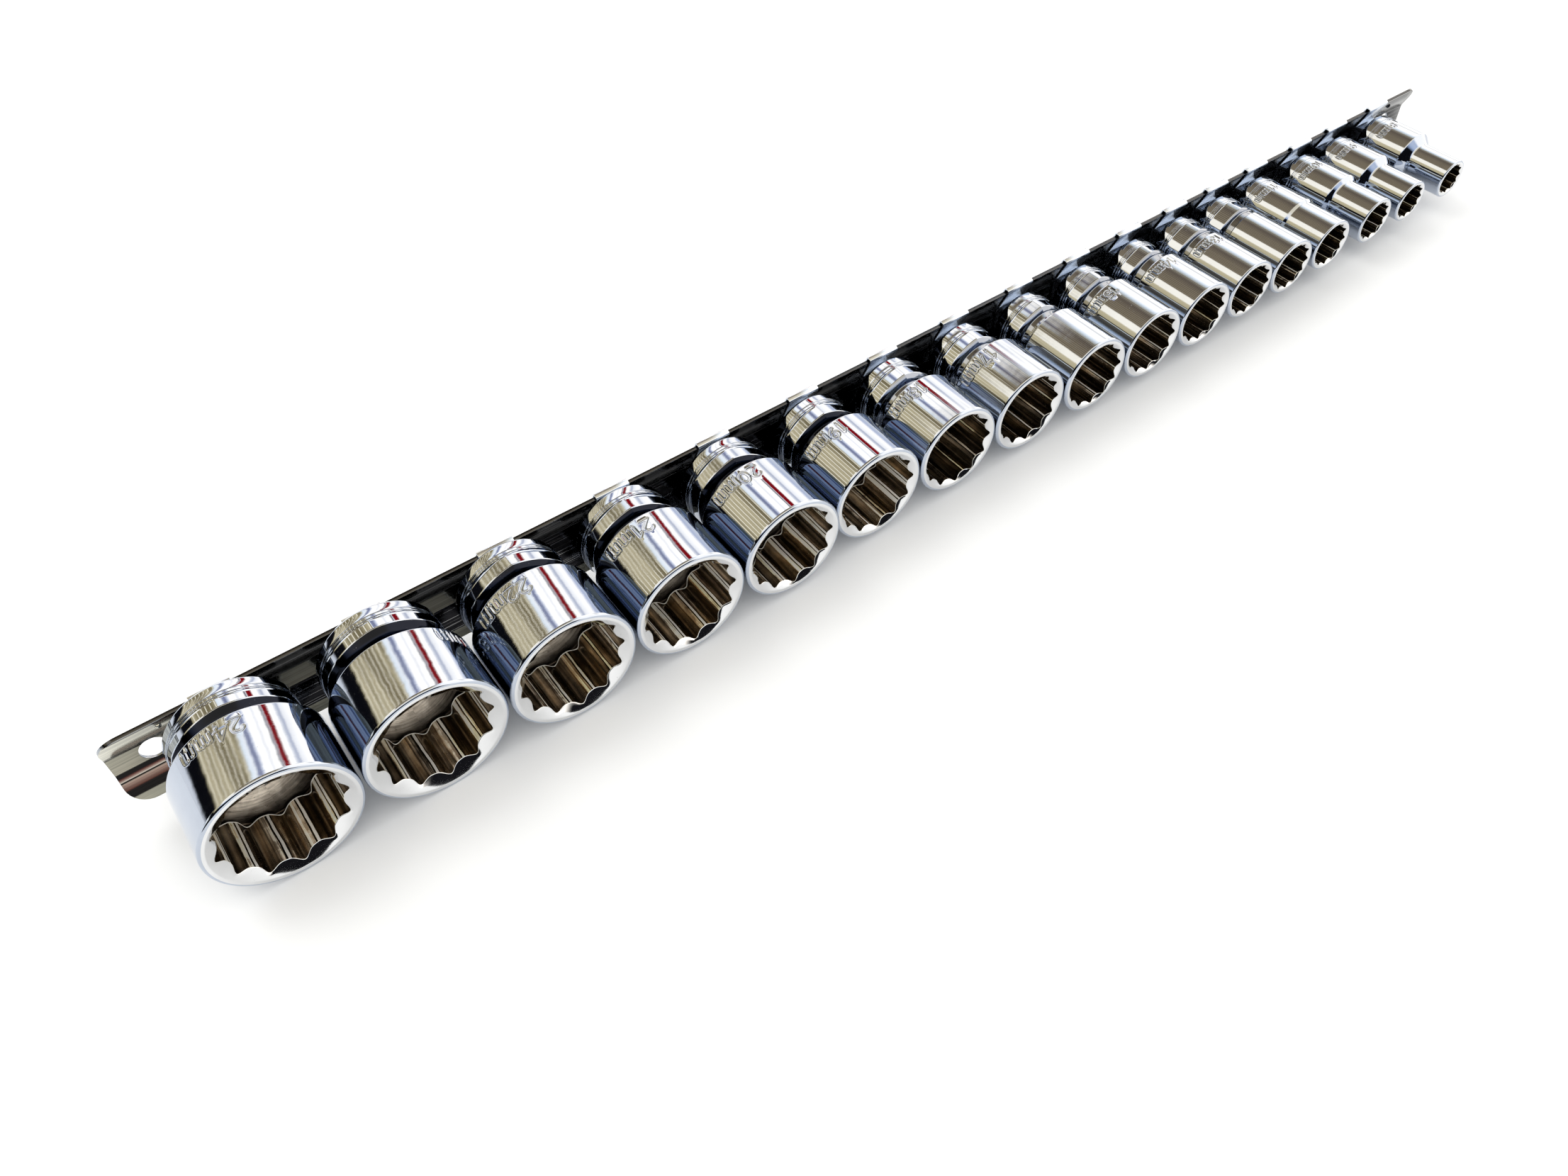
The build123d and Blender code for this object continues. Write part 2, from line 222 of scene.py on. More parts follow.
class Tree:
    def __init__(self, tree):
        self.t = tree
        self.t.nodes.clear()
        self.k = 0

    def node(self, kind, **sets):
        n = self.t.nodes.new(kind)
        n.location = (180 * (self.k % 12), -220 * (self.k // 12))
        self.k += 1
        for a, b in sets.items():
            setattr(n, a, b)
        return n

    def link(self, a, b):
        self.t.links.new(a, b)

    def put(self, socket, value):
        if isinstance(value, bpy.types.NodeSocket):
            self.link(value, socket)
        else:
            socket.default_value = value

    def math(self, op, a, b=0.0, c=0.0, clamp=False):
        n = self.node("ShaderNodeMath", operation=op, use_clamp=clamp)
        for s, x in zip(n.inputs, (a, b, c)):
            self.put(s, x)
        return n.outputs[0]

    def smooth(self, value, a, b):
        n = self.node("ShaderNodeMapRange", interpolation_type="SMOOTHSTEP")
        self.put(n.inputs["Value"], value)
        n.inputs["From Min"].default_value = a
        n.inputs["From Max"].default_value = b
        return n.outputs["Result"]

    def span(self, value, a, b, lo, hi):
        n = self.node("ShaderNodeMapRange")
        self.put(n.inputs["Value"], value)
        for name, x in (("From Min", a), ("From Max", b), ("To Min", lo), ("To Max", hi)):
            n.inputs[name].default_value = x
        return n.outputs["Result"]

    def mix(self, fac, a, b):
        n = self.node("ShaderNodeMix", data_type="RGBA")
        self.put(n.inputs[0], fac)
        for s, x in ((n.inputs[6], a), (n.inputs[7], b)):
            self.put(s, x if isinstance(x, bpy.types.NodeSocket) else (*x[:3], 1.0))
        return n.outputs[2]

    def ramp(self, value, stops, mode="LINEAR"):
        n = self.node("ShaderNodeValToRGB")
        n.color_ramp.interpolation = mode
        e = n.color_ramp.elements
        while len(e) > 1:
            e.remove(e[-1])
        e[0].position, e[0].color = stops[0][0], (*stops[0][1], 1.0)
        for p, c in stops[1:]:
            x = e.new(p)
            x.color = (*c, 1.0)
        self.put(n.inputs[0], value)
        return n.outputs[0]

    def noise(self, vector, scale, detail=3.0, rough=0.5, distortion=0.0):
        n = self.node("ShaderNodeTexNoise")
        self.link(vector, n.inputs["Vector"])
        n.inputs["Scale"].default_value = scale
        n.inputs["Detail"].default_value = detail
        n.inputs["Roughness"].default_value = rough
        n.inputs["Distortion"].default_value = distortion
        return n.outputs["Fac"]

    def mapped(self, vector, scale=(1, 1, 1), rotation=(0, 0, 0)):
        n = self.node("ShaderNodeMapping")
        self.link(vector, n.inputs["Vector"])
        n.inputs["Scale"].default_value = scale
        n.inputs["Rotation"].default_value = rotation
        return n.outputs[0]

    def bump(self, height, distance, strength=1.0, normal=None):
        n = self.node("ShaderNodeBump")
        self.link(height, n.inputs["Height"])
        n.inputs["Distance"].default_value = distance
        n.inputs["Strength"].default_value = strength
        if normal is not None:
            self.link(normal, n.inputs["Normal"])
        return n.outputs[0]


def material(name):
    m = bpy.data.materials.new(name)
    m.use_nodes = True
    t = Tree(m.node_tree)
    out = t.node("ShaderNodeOutputMaterial")
    p = t.node("ShaderNodeBsdfPrincipled")
    t.link(p.outputs[0], out.inputs[0])
    return m, t, p


def mm_coords(t):
    """Object coordinates in mm."""
    return t.mapped(t.node("ShaderNodeTexCoord").outputs["Object"], (1000, 1000, 1000))


def uv_coords(t):
    """Surface coordinates in mm: u round the axis, v along the profile."""
    n = t.node("ShaderNodeUVMap")
    n.uv_map = "Surface"
    return n.outputs[0]


def field(t, name):
    n = t.node("ShaderNodeAttribute")
    n.attribute_name = name
    return n.outputs["Fac"]


def chrome(name, tint, rough, wave, turned=0.0, dull=(0.30, 0.31, 0.34)):
    """Polished plating: slow ripple, faint wiped haze, hairline scratches, tiny pits and painted shade in stamped
    strokes.
    """
    m, t, p = material(name)
    p.inputs["Metallic"].default_value = 1.0
    mm = mm_coords(t)
    uv = uv_coords(t)
    haze = t.noise(mm, 0.16, 4.0, 0.6)
    fine = t.noise(t.mapped(mm, (0.9, 5.5, 2.2), (0.3, 0.2, 0.5)), 1.0, 5.0, 0.65)
    scratch = t.smooth(fine, 0.62, 0.74)
    pit = t.smooth(t.noise(mm, 3.2, 2.0, 0.4), 0.735, 0.80)
    base = t.mix(t.smooth(haze, 0.30, 0.75), tint, tuple(0.95 * c for c in tint))
    base = t.mix(t.math("MULTIPLY", pit, 0.55), base, dull)
    # painted shade in the stamped strokes: the plating is darker there
    base = t.mix(t.math("MULTIPLY", field(t, "stamped"), 0.40), base, tuple(0.25 * c for c in tint))
    t.link(base, p.inputs["Base Color"])
    r = t.math("ADD", t.span(haze, 0.3, 0.8, rough * 0.6, rough * 1.7), t.math("MULTIPLY", scratch, 0.07))
    t.link(t.math("ADD", r, t.math("MULTIPLY", pit, 0.25)), p.inputs["Roughness"])
    n = t.bump(t.noise(mm, 0.22, 2.0, 0.45), wave)
    n = t.bump(t.math("SUBTRACT", fine, t.math("MULTIPLY", pit, 1.5)), 0.0000012, 1.0, n)
    if turned > 0:
        lines = t.noise(t.mapped(uv, (0.02, 7.0, 1.0)), 1.0, 3.0, 0.7)
        n = t.bump(lines, turned, 1.0, n)
    t.link(n, p.inputs["Normal"])
    return m


def bore(name, rough, streak, scale, flutes, depth=1.0):
    """Bore plating: matt, dark and streaked along the tool's path. The flutes carry painted highlights along one edge
    of each land and painted shade elsewhere, scaled down by depth as painted shade; the cavity carries painted light
    from one side. The brightest painted parts are made less metallic so they stay bright.
    """
    m, t, p = material(name)
    p.inputs["Metallic"].default_value = 1.0
    mm = mm_coords(t)
    uv = uv_coords(t)
    lines = t.noise(t.mapped(uv, scale), 1.0, 4.0, 0.6)
    blot = t.noise(mm, 0.30, 3.0, 0.6, 0.5)
    spot = t.smooth(t.noise(mm, 1.2, 3.0, 0.6), 0.66, 0.74)
    if flutes:
        turn = t.math("MULTIPLY", t.math("ARCTAN2", field(t, "wave_sin"), field(t, "wave_cos")), 0.5 / math.pi)
        turn = t.math("ADD", turn, t.math("MULTIPLY", t.math("SUBTRACT", t.noise(t.mapped(uv, (0.4, 0.12, 1.0)), 1.0, 2.0, 0.5), 0.5), 0.10))
        c = t.ramp(t.math("ADD", turn, 0.5), [((d + 15.0) / 30.0, tuple(x * depth for x in q)) for d, q in FLUTE_LIGHT_BANDS])
        slow = t.noise(t.mapped(uv, (0.21, 0.012, 1.0)), 1.0, 1.0, 0.5)
        warm = t.noise(t.mapped(uv, (0.16, 0.03, 1.0)), 1.0, 1.0, 0.5)
        gain = t.ramp(slow, [(0.30, (0.40, 0.40, 0.40)), (0.46, (0.75, 0.75, 0.75)), (0.54, (1.15, 1.15, 1.15)), (0.66, (1.8, 1.8, 1.8))])
        hue = t.mix(t.smooth(warm, 0.46, 0.62), (1.0, 0.975, 0.945), (1.10, 0.93, 0.68))
    else:
        # painted light: the cavity is near black by the flutes and lighter deeper in and towards one side
        c = t.mix(field(t, "lit"), (0.05, 0.042, 0.034), (1.25, 1.17, 1.05))
        gain = t.mix(t.smooth(blot, 0.25, 0.75), (0.85, 0.85, 0.85), (1.1, 1.1, 1.1))
        hue = t.mix(t.smooth(lines, 0.35, 0.65), (0.95, 0.90, 0.84), (1.05, 1.0, 0.95))
    for k in (gain, hue, t.mix(t.smooth(lines, 0.34, 0.66), (0.70, 0.70, 0.70), (1.30, 1.30, 1.30)),
              t.mix(t.smooth(blot, 0.36, 0.60), (0.80, 0.785, 0.77), (1.06, 1.06, 1.06))):
        n = t.node("ShaderNodeMix", data_type="RGBA", blend_type="MULTIPLY")
        n.inputs[0].default_value = 1.0
        t.link(c, n.inputs[6])
        t.link(k, n.inputs[7])
        c = n.outputs[2]
    c = t.mix(t.math("MULTIPLY", spot, 0.6), c, (0.03, 0.025, 0.02))
    n = t.node("ShaderNodeMix", data_type="RGBA", blend_type="DARKEN")
    n.inputs[0].default_value = 1.0
    t.link(c, n.inputs[6])
    n.inputs[7].default_value = (1.0, 0.97, 0.90, 1.0)
    c = n.outputs[2]
    t.link(c, p.inputs["Base Color"])
    bright = t.node("ShaderNodeRGBToBW")
    t.link(c, bright.inputs[0])
    # the brightest painted light is made less metallic, so it stays bright from every side
    painted_bright = t.smooth(bright.outputs[0], 0.55, 0.95)
    t.link(t.math("SUBTRACT", 1.0, t.math("MULTIPLY", painted_bright, 0.6)), p.inputs["Metallic"])
    t.link(t.math("ADD", t.span(lines, 0.3, 0.75, rough * 0.8, rough * 1.2), t.math("MULTIPLY", spot, 0.15)), p.inputs["Roughness"])
    n = t.bump(lines, streak)
    n = t.bump(t.noise(mm, 2.2, 2.0, 0.5), 0.000003, 1.0, n)
    t.link(n, p.inputs["Normal"])
    return m


# degrees from the middle of a land, colour painted there: painted highlights, dark lines and painted shade across each
# land
FLUTE_LIGHT_BANDS = [
    (-15.0, (0.26, 0.22, 0.17)), (-10.5, (0.20, 0.165, 0.125)), (-8.8, (0.55, 0.47, 0.37)), (-6.6, (0.62, 0.53, 0.42)), (-5.6, (0.08, 0.06, 0.045)),
    (-4.9, (0.10, 0.08, 0.06)), (-4.3, (3.0, 2.7, 2.2)), (-2.5, (3.0, 2.7, 2.2)), (-1.9, (0.03, 0.024, 0.018)), (-0.9, (0.03, 0.024, 0.018)),
    (-0.3, (1.35, 1.18, 0.95)), (3.8, (1.5, 1.32, 1.08)), (5.0, (0.80, 0.68, 0.53)), (5.6, (0.22, 0.17, 0.125)), (6.6, (0.50, 0.42, 0.32)),
    (10.0, (0.56, 0.475, 0.37)), (11.6, (0.30, 0.25, 0.195)), (15.0, (0.26, 0.22, 0.17))]


def rolled(name, tint, dark, rough, streak, wave, reflection_bands=None):
    """Bright rolled strip: long fine lines along the rail, a few deeper scratches, slight waves.
    bands are (mm from the middle line, colour): painted reflections in lengthwise stripes on the inner side. Along the
    sockets most of the inner side is painted dark with fine pale lines instead, as painted shade and dark reflection,
    and the up-facing top of the upper flange is painted dark."""
    m, t, p = material(name)
    p.inputs["Metallic"].default_value = 1.0
    mm = mm_coords(t)
    lines = t.noise(t.mapped(mm, (0.012, 2.6, 2.6)), 1.0, 6.0, 0.72)
    deep = t.smooth(t.noise(t.mapped(mm, (0.05, 5.0, 5.0)), 1.0, 3.0, 0.6), 0.64, 0.72)
    blot = t.noise(mm, 0.09, 4.0, 0.6)
    c = t.mix(t.smooth(lines, 0.36, 0.66), dark, tint)
    c = t.mix(t.math("MULTIPLY", t.smooth(blot, 0.45, 0.75), 0.35), c, tuple(0.82 * x for x in tint))
    if reflection_bands:
        sep = t.node("ShaderNodeSeparateXYZ")
        t.link(mm, sep.inputs[0])
        side = t.node("ShaderNodeSeparateXYZ")
        t.link(t.node("ShaderNodeTexCoord").outputs["Normal"], side.inputs[0])
        wander = t.math("MULTIPLY", t.math("SUBTRACT", t.noise(t.mapped(mm, (0.03, 0.3, 0.3)), 1.0, 2.0, 0.5), 0.5), 0.5)
        z = t.math("ADD", t.math("SUBTRACT", sep.outputs[2], HOME[2] * 1000), wander)
        ramp = t.ramp(t.math("ADD", t.math("DIVIDE", z, 24.0), 0.5), [((d + 12.0) / 24.0, q) for d, q in reflection_bands])
        inner = t.smooth(t.math("MULTIPLY", side.outputs[1], -1.0), 0.25, 0.55)
        grain = t.mix(t.smooth(lines, 0.30, 0.70), (0.72, 0.72, 0.72), (1.25, 1.25, 1.22))
        along = t.math("SUBTRACT", sep.outputs[0], HOME[0] * 1000)
        web = t.math("MULTIPLY", t.smooth(z, -2.7, -2.3), t.math("SUBTRACT", 1.0, t.smooth(z, 2.4, 2.8)))
        web = t.math("MULTIPLY", web, t.math("SUBTRACT", 1.0, t.smooth(along, 45.0, 70.0)))
        inner_half = t.math("MULTIPLY", t.smooth(z, -8.6, -8.2), t.math("SUBTRACT", 1.0, t.smooth(z, 9.8, 10.2)))
        shade = t.math("MULTIPLY", t.smooth(along, -7.0, -1.0), t.math("SUBTRACT", inner_half, web))
        # painted shade and dark reflection in the trough along the sockets: near black with fine pale lines
        plain = t.mix(t.smooth(lines, 0.57, 0.63), (0.014, 0.014, 0.016), (0.24, 0.24, 0.245))
        ramp = t.mix(shade, ramp, plain)
        mul = t.node("ShaderNodeMix", data_type="RGBA", blend_type="MULTIPLY")
        mul.inputs[0].default_value = 1.0
        t.link(ramp, mul.inputs[6])
        t.link(grain, mul.inputs[7])
        c = t.mix(inner, c, mul.outputs[2])
        # painted dark reflection on the up-facing top of the upper flange
        rim = t.math("MULTIPLY", t.smooth(side.outputs[2], 0.35, 0.75), t.smooth(z, 9.0, 9.8))
        c = t.mix(t.math("MULTIPLY", rim, 0.9), c, (0.035, 0.035, 0.04))
    t.link(c, p.inputs["Base Color"])
    t.link(t.math("ADD", t.span(lines, 0.3, 0.7, rough * 0.7, rough * 1.5), t.math("MULTIPLY", deep, 0.10)),
           p.inputs["Roughness"])
    n = t.bump(t.noise(t.mapped(mm, (0.02, 0.25, 0.25)), 1.0, 2.0, 0.5), wave)
    n = t.bump(t.math("SUBTRACT", lines, t.math("MULTIPLY", deep, 0.6)), streak, 1.0, n)
    t.link(n, p.inputs["Normal"])
    return m


# painted reflections on the rail's inner side: colour by height from the middle line, in mm
RAIL_REFLECTION_BANDS = [
    (-11.0, (0.34, 0.33, 0.27)), (-8.45, (0.34, 0.33, 0.27)), (-8.2, (0.015, 0.014, 0.014)), (-6.6, (0.015, 0.014, 0.014)),
    (-6.3, (0.10, 0.045, 0.036)), (-5.2, (0.27, 0.19, 0.16)), (-4.95, (0.30, 0.24, 0.20)), (-4.8, (0.014, 0.012, 0.012)),
    (-4.55, (0.014, 0.012, 0.012)), (-4.45, (0.62, 0.57, 0.50)), (-4.25, (0.30, 0.22, 0.19)), (-3.9, (0.11, 0.045, 0.038)),
    (-3.6, (0.014, 0.013, 0.013)), (-2.6, (0.014, 0.013, 0.013)), (-2.35, (0.36, 0.34, 0.28)), (2.3, (0.30, 0.29, 0.24)),
    (2.7, (0.06, 0.058, 0.052)), (3.2, (0.26, 0.255, 0.23)), (3.8, (0.60, 0.585, 0.51)), (9.6, (0.62, 0.61, 0.55)),
    (9.9, (0.05, 0.05, 0.05)), (10.2, (0.42, 0.42, 0.41)), (11.5, (0.5, 0.5, 0.5))]
PLATE = (0.50, 0.545, 0.63)         # reflectance of the plating
M_BODY = chrome("chrome_body", PLATE, 0.03, 0.000011)
# the necks are plating painted darker than the body: painted shade and dark reflection in the recessed waist, near
# black on the big sockets and paler on the middle sizes
M_SHADED_NECK = chrome("shaded_neck_chrome", (0.016, 0.018, 0.026), 0.08, 0.00001)
M_PALER_SHADED_NECK = chrome("paler_shaded_neck_chrome", (0.30, 0.325, 0.38), 0.05, 0.00001)
# the faces are a brightened copy of the plating: painted highlight, so the mouth and back faces show a white reflection
M_BRIGHT_FACE = chrome("brightened_face_chrome", (0.80, 0.805, 0.815), 0.06, 0.000004, 0.0000007)
# painted highlight: the lips of the flutes and lead-in are pale and mostly non-metal, so they show as bright lines
M_LIP_HIGHLIGHT = chrome("painted_highlight_lip", (0.96, 0.94, 0.88), 0.38, 0.000002)
M_LIP_HIGHLIGHT.node_tree.nodes["Principled BSDF"].inputs["Metallic"].default_value = 0.25
M_FLUTE = bore("satin_flutes", 0.22, 0.000007, (2.2, 0.03, 1.0), True, 0.8)
# a darker copy of the flute plating for sockets under 19 mm: painted shade in their narrower bores
M_FLUTE_SHADED = bore("flute_plating_painted_shade", 0.22, 0.000007, (2.2, 0.03, 1.0), True, 0.36)
M_CAVITY = bore("satin_cavity", 0.30, 0.000006, (0.05, 1.6, 1.0), False)
M_RAIL = rolled("rolled_steel", (0.40, 0.43, 0.48), (0.27, 0.29, 0.33), 0.13, 0.0000022, 0.000008, RAIL_REFLECTION_BANDS)
M_CLIP = rolled("spring_steel", (0.74, 0.79, 0.88), (0.60, 0.645, 0.72), 0.18, 0.0000016, 0.000004)
BODY, NECK, FACE, FLUTE, CAVITY, LIP = range(6)
SOCKET_MATS = [M_BODY, M_SHADED_NECK, M_BRIGHT_FACE, M_FLUTE, M_CAVITY, M_LIP_HIGHLIGHT]
SMALL_MATS = [M_BODY, M_PALER_SHADED_NECK, M_BRIGHT_FACE, M_FLUTE_SHADED, M_CAVITY, M_LIP_HIGHLIGHT]


# ------------------------------------------------------------------ sockets
def socket_columns(size, R, hexes, windows):
    """Angles of the columns: an even ring, finer where figures are stamped, and exact at the edges of the flats."""
    base = 1.25 if size >= 16 else 1.875
    keys = list(np.arange(-180.0, 180.0, 15.0)) + list(hexes)
    plain = np.arange(-180.0, 180.0, base)
    fine = [np.arange(a, b, math.degrees(0.115 / R)) for a, b in windows]
    cols = []
    taken = np.array(sorted(set(round((k + 180) % 360 - 180, 4) for k in keys)))
    cols.extend(taken)
    for group in fine:
        for c in group:
            c = (c + 180) % 360 - 180
            if np.abs(((np.array(cols) - c + 180) % 360) - 180).min() > 0.12:
                cols.append(c)
    have = np.array(cols)
    lim = base * 0.45
    for c in plain:
        if np.abs(((have - c + 180) % 360) - 180).min() > lim:
            cols.append(c)
    return np.array(sorted(cols))


def make_socket(size, x, od, ym, dod, mark):
    R, rd, yb = od / 2.0, dod / 2.0, BACK_Y
    ring0 = yb - RING_W
    g1 = ring0 - GROOVE_W
    bead = g1 - BEAD_W
    g2 = bead - GROOVE_W
    big = size >= 12
    rg = rd - (0.17 if big else 0.22)
    af = size + AF_CLEARANCE
    # the six flats are slightly domed, with corners at 0, 60, 120 ... degrees
    hexes = [60 * k + o for k in range(6) for o in (-1.0, -0.45, 0.45, 1.0)] if big else []

    # stamped figures: tops towards the mouth, read towards -X
    if big:
        body_back = {24: 18.7, 23: 17.9}.get(size, 17.4 if size >= 16 else 18.2)
        shoulder = min(0.9, (R - max(rd - 2.3, 7.85)) * 0.4)
        high = {24: 3.7, 23: 3.7, 22: 3.8, 21: 3.7, 20: 3.5, 19: 3.3, 18: 3.1, 17: 3.2}.get(size, 2.7)
        base_y, rs = body_back - shoulder - 0.9, R
    else:
        step_y = ym + 12.4
        full_y = step_y + max(0.9, (rd - R) * 1.05)
        high = 2.3
        base_y, rs = g2 - 1.3, rd
    segs, width = stamp_segments("%dmm" % size, high)
    pad = 0.45
    half = math.degrees((width / 2 + pad) / rs)
    th = socket_columns(size, rs, hexes, [(mark - half, mark + half)])
    n = len(th)
    rad = np.radians(th)
    win_y0, win_y1 = base_y - high - pad, base_y + pad

    rows = []

    def row(r, y, slot):
        rows.append((np.broadcast_to(np.asarray(r, float), (n,)).copy(),
                     np.broadcast_to(np.asarray(y, float), (n,)).copy(), slot))

    def span_rows(y0, y1, r, slot):
        """Rows along a straight cylinder, close together where the figures are."""
        ys = [y for y in np.arange(y0 + 2.2, y1 - 0.6, 2.2) if not win_y0 - 0.4 < y < win_y1 + 0.4]
        if y0 < win_y0 < y1:
            ys += list(np.arange(max(win_y0, y0 + 0.1), min(win_y1, y1 - 0.1), 0.115))
        for y in sorted(ys):
            row(r, y, slot)

    # a twelve-point bore whose lands are rounded and whose points are a little blunt
    def flute():
        d = np.abs((th % 30.0) - 15.0)                      # 0 at a land, 15 at a point
        k = (1.0 - np.cos(math.pi * (d / 15.0) ** 1.3)) / 2
        return af / 2.0 / np.cos(np.radians(15.2 + (29.7 - 15.2) * k)), k

    hexrel = np.abs(((th % 60.0) - 30.0) / 30.0)
    hexr = rd * (1.0 - (0.018 if size >= 23 else 0.042) * (1.0 - np.sqrt(hexrel ** 2 * 0.9988 + 0.0012) ** 2))

    # ---- outside, from the mouth to the back
    r_in = R - (1.5 if size >= 16 else 1.25 if size >= 12 else 1.0)
    bev = 0.95 if big else 0.65
    for r, y in rounded([(r_in + 0.12, ym, 0), (R, ym, bev), (R, ym + 3.0, 0)], 13.0, 0.04)[1:-1]:
        row(r, y, BODY)
    if big:
        rn = max(rd - 2.3, 7.85)
        hex_back = yb - HEX_BACK
        hex_front = yb - HEX_FRONT if size >= 14 else yb - HEX_FRONT - 0.8
        span_rows(ym + bev, body_back - shoulder, R, BODY)
        for r, y in rounded([(R, body_back - shoulder - 0.2, 0), (R, body_back, shoulder * 0.98), (rn + 0.5, body_back + 0.35, 0)], 13.0, 0.04)[1:-1]:
            row(r, y, BODY)
        for r, y in rounded([(rn + 0.8, body_back + 0.3, 0), (rn, body_back + 0.45, 0.38), (rn, hex_front - 2, 0)], 22.0, 0.04)[1:-1]:
            row(r, y, NECK)
        mid = (body_back + hex_front) / 2
        row(rn - 0.04, mid - 1.0, NECK)
        row(rn - 0.05, mid + 1.0, NECK)
        for r, y in rounded([(rn, hex_front - 2.0, 0), (rn, hex_front - 0.02, 0.42), (rn + 1.2, hex_front, 0)], 22.0)[1:-1]:
            row(r, y, NECK)
        band = {24: 2.3, 23: 2.0, 22: 1.3}.get(size, 1.1)     # length of the bevel in front of the flats
        cut = 0.85 + 0.22 * band
        row(hexr - cut - 0.10, hex_front, NECK)
        row(hexr - cut - 0.02, hex_front + 0.03, NECK)
        row(hexr - cut * 0.5, hex_front + band * 0.42, NECK)
        row(hexr - 0.17, hex_front + band - 0.13, NECK)
        row(hexr - 0.08, hex_front + band - 0.02, BODY)
        row(hexr - 0.02, hex_front + band + 0.10, BODY)
        row(hexr, hex_front + band + 0.22, BODY)
        row(hexr, hex_front + band + 0.27, BODY)
        row(hexr, hex_back - 0.37, BODY)
        row(hexr, hex_back - 0.32, BODY)
        lift = rd - hexr
        row(hexr + 0.02 * (lift > 0.05), hex_back - 0.16, BODY)
        row(hexr + np.minimum(0.14, lift * 0.5), hex_back - 0.03, BODY)
        row(np.maximum(rd - 0.16, hexr), hex_back, BODY)
        row(rd - 0.05, hex_back + 0.04, BODY)
        row(rd, hex_back + 0.15, BODY)
    else:
        span_rows(ym + bev, step_y - 1.0, R, BODY)
        cove = min(1.2, 1.0 * (rd - R) + 0.05)
        for r, y in rounded([(R, step_y - 1.6, 0), (R, step_y, cove), (rd, full_y, 0.7), (rd, full_y + 2.2, 0)], 7.0, 0.04)[1:-1]:
            row(r, y, BODY)
        span_rows(full_y + 0.9, g2 - 0.2, rd, BODY)
    e = 0.07
    top = rd - (0.0 if big else 0.1)
    for r, y in rounded([(rd, g2 - 0.5, 0), (rd, g2, e), (rg, g2, e), (rg, bead, e), (top, bead, 0.12),
                         (top, g1, 0.12), (rg, g1, e), (rg, ring0, e), (rd - 0.03, ring0, 0.14),
                         (rd, ring0 + 0.5, 0), (rd, yb - 0.95, 0.5), (rd - 0.75, yb, 0.3),
                         (rd - 2.0, yb, 0)], 30.0, 0.03)[1:-1]:
        row(min(r, rd), y, BODY)
    # ---- back face, square drive hole with its detent groove
    a = SQUARE / 2.0
    p = 16.0
    sq = a / (np.abs(np.cos(rad)) ** p + np.abs(np.sin(rad)) ** p) ** (1 / p)
    rc = np.maximum(sq, a + 0.92)
    row((rd - 1.4 + rc) / 2 + 0.2, yb, FACE)
    row(rc + 0.08, yb, FACE)
    row(rc, yb - 0.03, FACE)
    row(np.maximum(sq, a + 0.12), yb - 0.78, CAVITY)
    row(sq, yb - 0.90, CAVITY)
    g_in = np.maximum(sq, a + 0.36)
    row(sq, DETENT_Y + 1.20, CAVITY)
    row(g_in, DETENT_Y + 1.05, CAVITY)
    row(g_in, DETENT_Y - 1.05, CAVITY)
    row(sq, DETENT_Y - 1.20, CAVITY)
    sqf = yb - SQUARE_DEPTH
    row(sq, sqf + 0.28, CAVITY)
    row(sq + 0.22, sqf, CAVITY)
    # ---- cavity behind the flutes
    depth = 14.0 if size >= 20 else (13.2 if size >= 12 else 11.8)
    y_end = ym + depth
    tip = af / 2.0 / math.cos(math.radians(30))
    if size >= 14:
        r_cav = tip + 0.2
        c0, c1 = y_end + 0.9, y_end + (3.4 if size >= 20 else 2.9)
    else:
        r_cav = af / 2.0 * 0.985
        c0, c1 = y_end + 1.6, y_end + 2.6
    rf = min(6.4, r_cav - 0.6)
    if sqf - c1 > 0.4:
        for r, y in rounded([(rf + 0.3, sqf, 0), (rf, sqf - 0.02, 0.0), (rf, c1, 0.8), (r_cav, c0, 0.7), (r_cav, y_end, 0)], 12.0)[1:-1]:
            row(r, y, CAVITY)
    else:
        row(rf, min(c1, sqf - 0.05), CAVITY)
        row(r_cav, c0, CAVITY)
    fl, point = flute()
    if size >= 14:
        dy = 0.6 * (1.0 - point)
        row(r_cav, y_end + 0.04 + 0.4 * dy, CAVITY)
        row(fl + 0.20, y_end + 0.02 + dy, LIP)
        row(fl + 0.04, y_end + dy, LIP)
        row(fl - 0.06, y_end - 0.05 + dy, LIP)
        row(fl - 0.11, y_end - 0.13 + dy, LIP)
        row(fl - 0.10, y_end - 0.20 + dy, LIP)
        row(fl - 0.02, y_end - 0.30 + dy, FLUTE)
        row(fl, y_end - 0.36 + dy, FLUTE)
    else:
        row(r_cav, y_end + 0.10, CAVITY)
        row(r_cav + 0.08, y_end + 0.02, LIP)
        row(fl - 0.08, y_end, FLUTE)
        row(fl, y_end - 0.10, FLUTE)
    # ---- flutes up to the lead-in cone
    cone_len = (r_in - af / 2.0) * 0.62
    slope = (cone_len + 0.25) / (r_in - af / 2.0 + 0.4)
    yc = ym + np.maximum(r_in - fl, 0.12) * slope
    for f in (0.12, 0.3, 0.5, 0.7, 0.88):
        row(fl, (y_end - 0.40) * (1 - f) + yc * f, FLUTE)
    row(fl, yc + 0.14, FLUTE)
    row(fl + 0.01, yc + 0.07, LIP)
    row(fl + 0.05, yc - 0.0, FACE)
    row(fl * 0.94 + r_in * 0.06 + 0.01, yc * 0.94 + ym * 0.06, FACE)
    row(fl * 0.5 + r_in * 0.5, (yc + ym) / 2, FACE)
    row(np.full(n, r_in) - 0.05, ym + 0.06, FACE)
    row(r_in + 0.08, ym, FACE)
    row((r_in + R - bev) / 2, ym, FACE)

